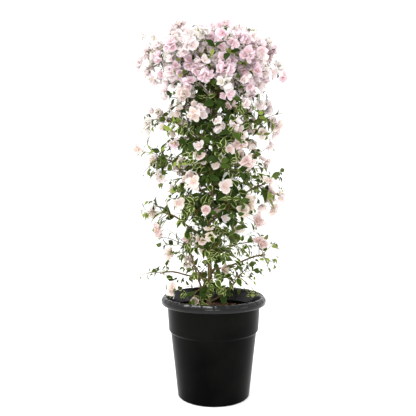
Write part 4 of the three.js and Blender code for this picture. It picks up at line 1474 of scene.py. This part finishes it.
bm = bmesh.new()
bmesh.ops.create_icosphere(bm, subdivisions=1, radius=1)
crumb = read_shape(bm)
crumbs = []
deal = dealer(CRUMB_SEED)
for _ in range(CRUMB_COUNT):
    place = around(deal(0, 360), SOIL_REACH * math.sqrt(deal()), 0)
    size = CRUMB_SIZES[0] + (CRUMB_SIZES[1] - CRUMB_SIZES[0]) * deal() ** 3
    sag = SOIL_SAG * (place[0] ** 2 + place[1] ** 2) / SOIL_REACH**2
    place[2] = SOIL_TOP - sag + soil_lift(place[0], place[1]) + CRUMB_LIFT * size
    axis = Vector(scatter(1, deal)).normalized()
    turned = np.array(Matrix.Rotation(deal(0, CRUMB_TURN), 3, axis))
    axes = turned @ np.diag([size * deal(*CRUMB_STRETCH), size, size * deal(*CRUMB_FLATNESS)])
    kind = min(int(3 * deal() ** 1.4), 2)
    crumbs.append({**copy_shape(crumb, axes, place), "kinds": np.full(len(crumb["kinds"]), kind)})
finishes = [leaf_material(f"crumb_{n}", paint, roughness=0.9) for n, paint in enumerate(CRUMB_PAINTS)]
piece = join_piece("soil_crumbs", crumbs, finishes, sharp_from=20)

# %% [markdown]
# ## Floor and light
# A plain pale floor and an even white sky stand for a bright studio. A long narrow lamp on the upper left
# glints along the lip, and a soft one near the camera's own line fills the gaps between the blossoms. A weak
# one lights the right side, and a broad one high up behind brings out the edges of the leaves.

# %% Set the stage
FLOOR_REACH = 40
FLOOR_PAINT = (0.95, 0.95, 0.95, 1)
SKY_STRENGTH = 1.27

bm = bmesh.new()
bmesh.ops.create_grid(bm, x_segments=1, y_segments=1, size=FLOOR_REACH)
floor_mesh = bpy.data.meshes.new("floor")
bm.to_mesh(floor_mesh)
bm.free()
floor = bpy.data.objects.new("floor", floor_mesh)
bpy.context.scene.collection.objects.link(floor)
floor_material, tree, shader = new_material("pale_floor", roughness=0.9, specular=0.1)
set_inputs(tree, shader, {"Base Color": FLOOR_PAINT})
floor_mesh.materials.append(floor_material)
floor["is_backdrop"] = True

world = bpy.data.worlds.new("studio")
world.use_nodes = True
world.node_tree.nodes["Background"].inputs["Color"].default_value = (1, 1, 1, 1)
world.node_tree.nodes["Background"].inputs["Strength"].default_value = SKY_STRENGTH
bpy.context.scene.world = world
bpy.context.scene.view_settings.view_transform = "Standard"

# name, place, what it faces, width and height, and power
LAMPS = [
    ("key_lamp", (-0.93, -0.585, 2.3), (-0.6, 0.09, 0.5), (2.1, 0.12), 28),
    ("front_lamp", (-0.15, -2.4, 0.95), (0, 0, 0.7), (1.2, 0.9), 27),
    ("side_lamp", (1.8, -0.6, 1.2), (0, 0, 0.5), (0.8, 0.8), 5),
    ("back_lamp", (0.4, 2.1, 2.1), (0, 0, 0.7), (1.8, 1.2), 32),
]
for name, place, aim, size, power in LAMPS:
    data = bpy.data.lights.new(name, "AREA")
    data.shape = "RECTANGLE"
    data.size, data.size_y = size
    data.energy = power
    lamp = bpy.data.objects.new(name, data)
    lamp.location = place
    lamp.rotation_euler = (Vector(aim) - Vector(place)).to_track_quat("-Z", "Y").to_euler()
    bpy.context.scene.collection.objects.link(lamp)
print("lamps:", len(LAMPS), "and a sky of strength", SKY_STRENGTH)

# %% Keep both boxes and finish
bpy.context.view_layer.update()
print("boxes in mm:", [[round(v / MM) for v in corner] for corner in (*frame_box, *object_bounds())])
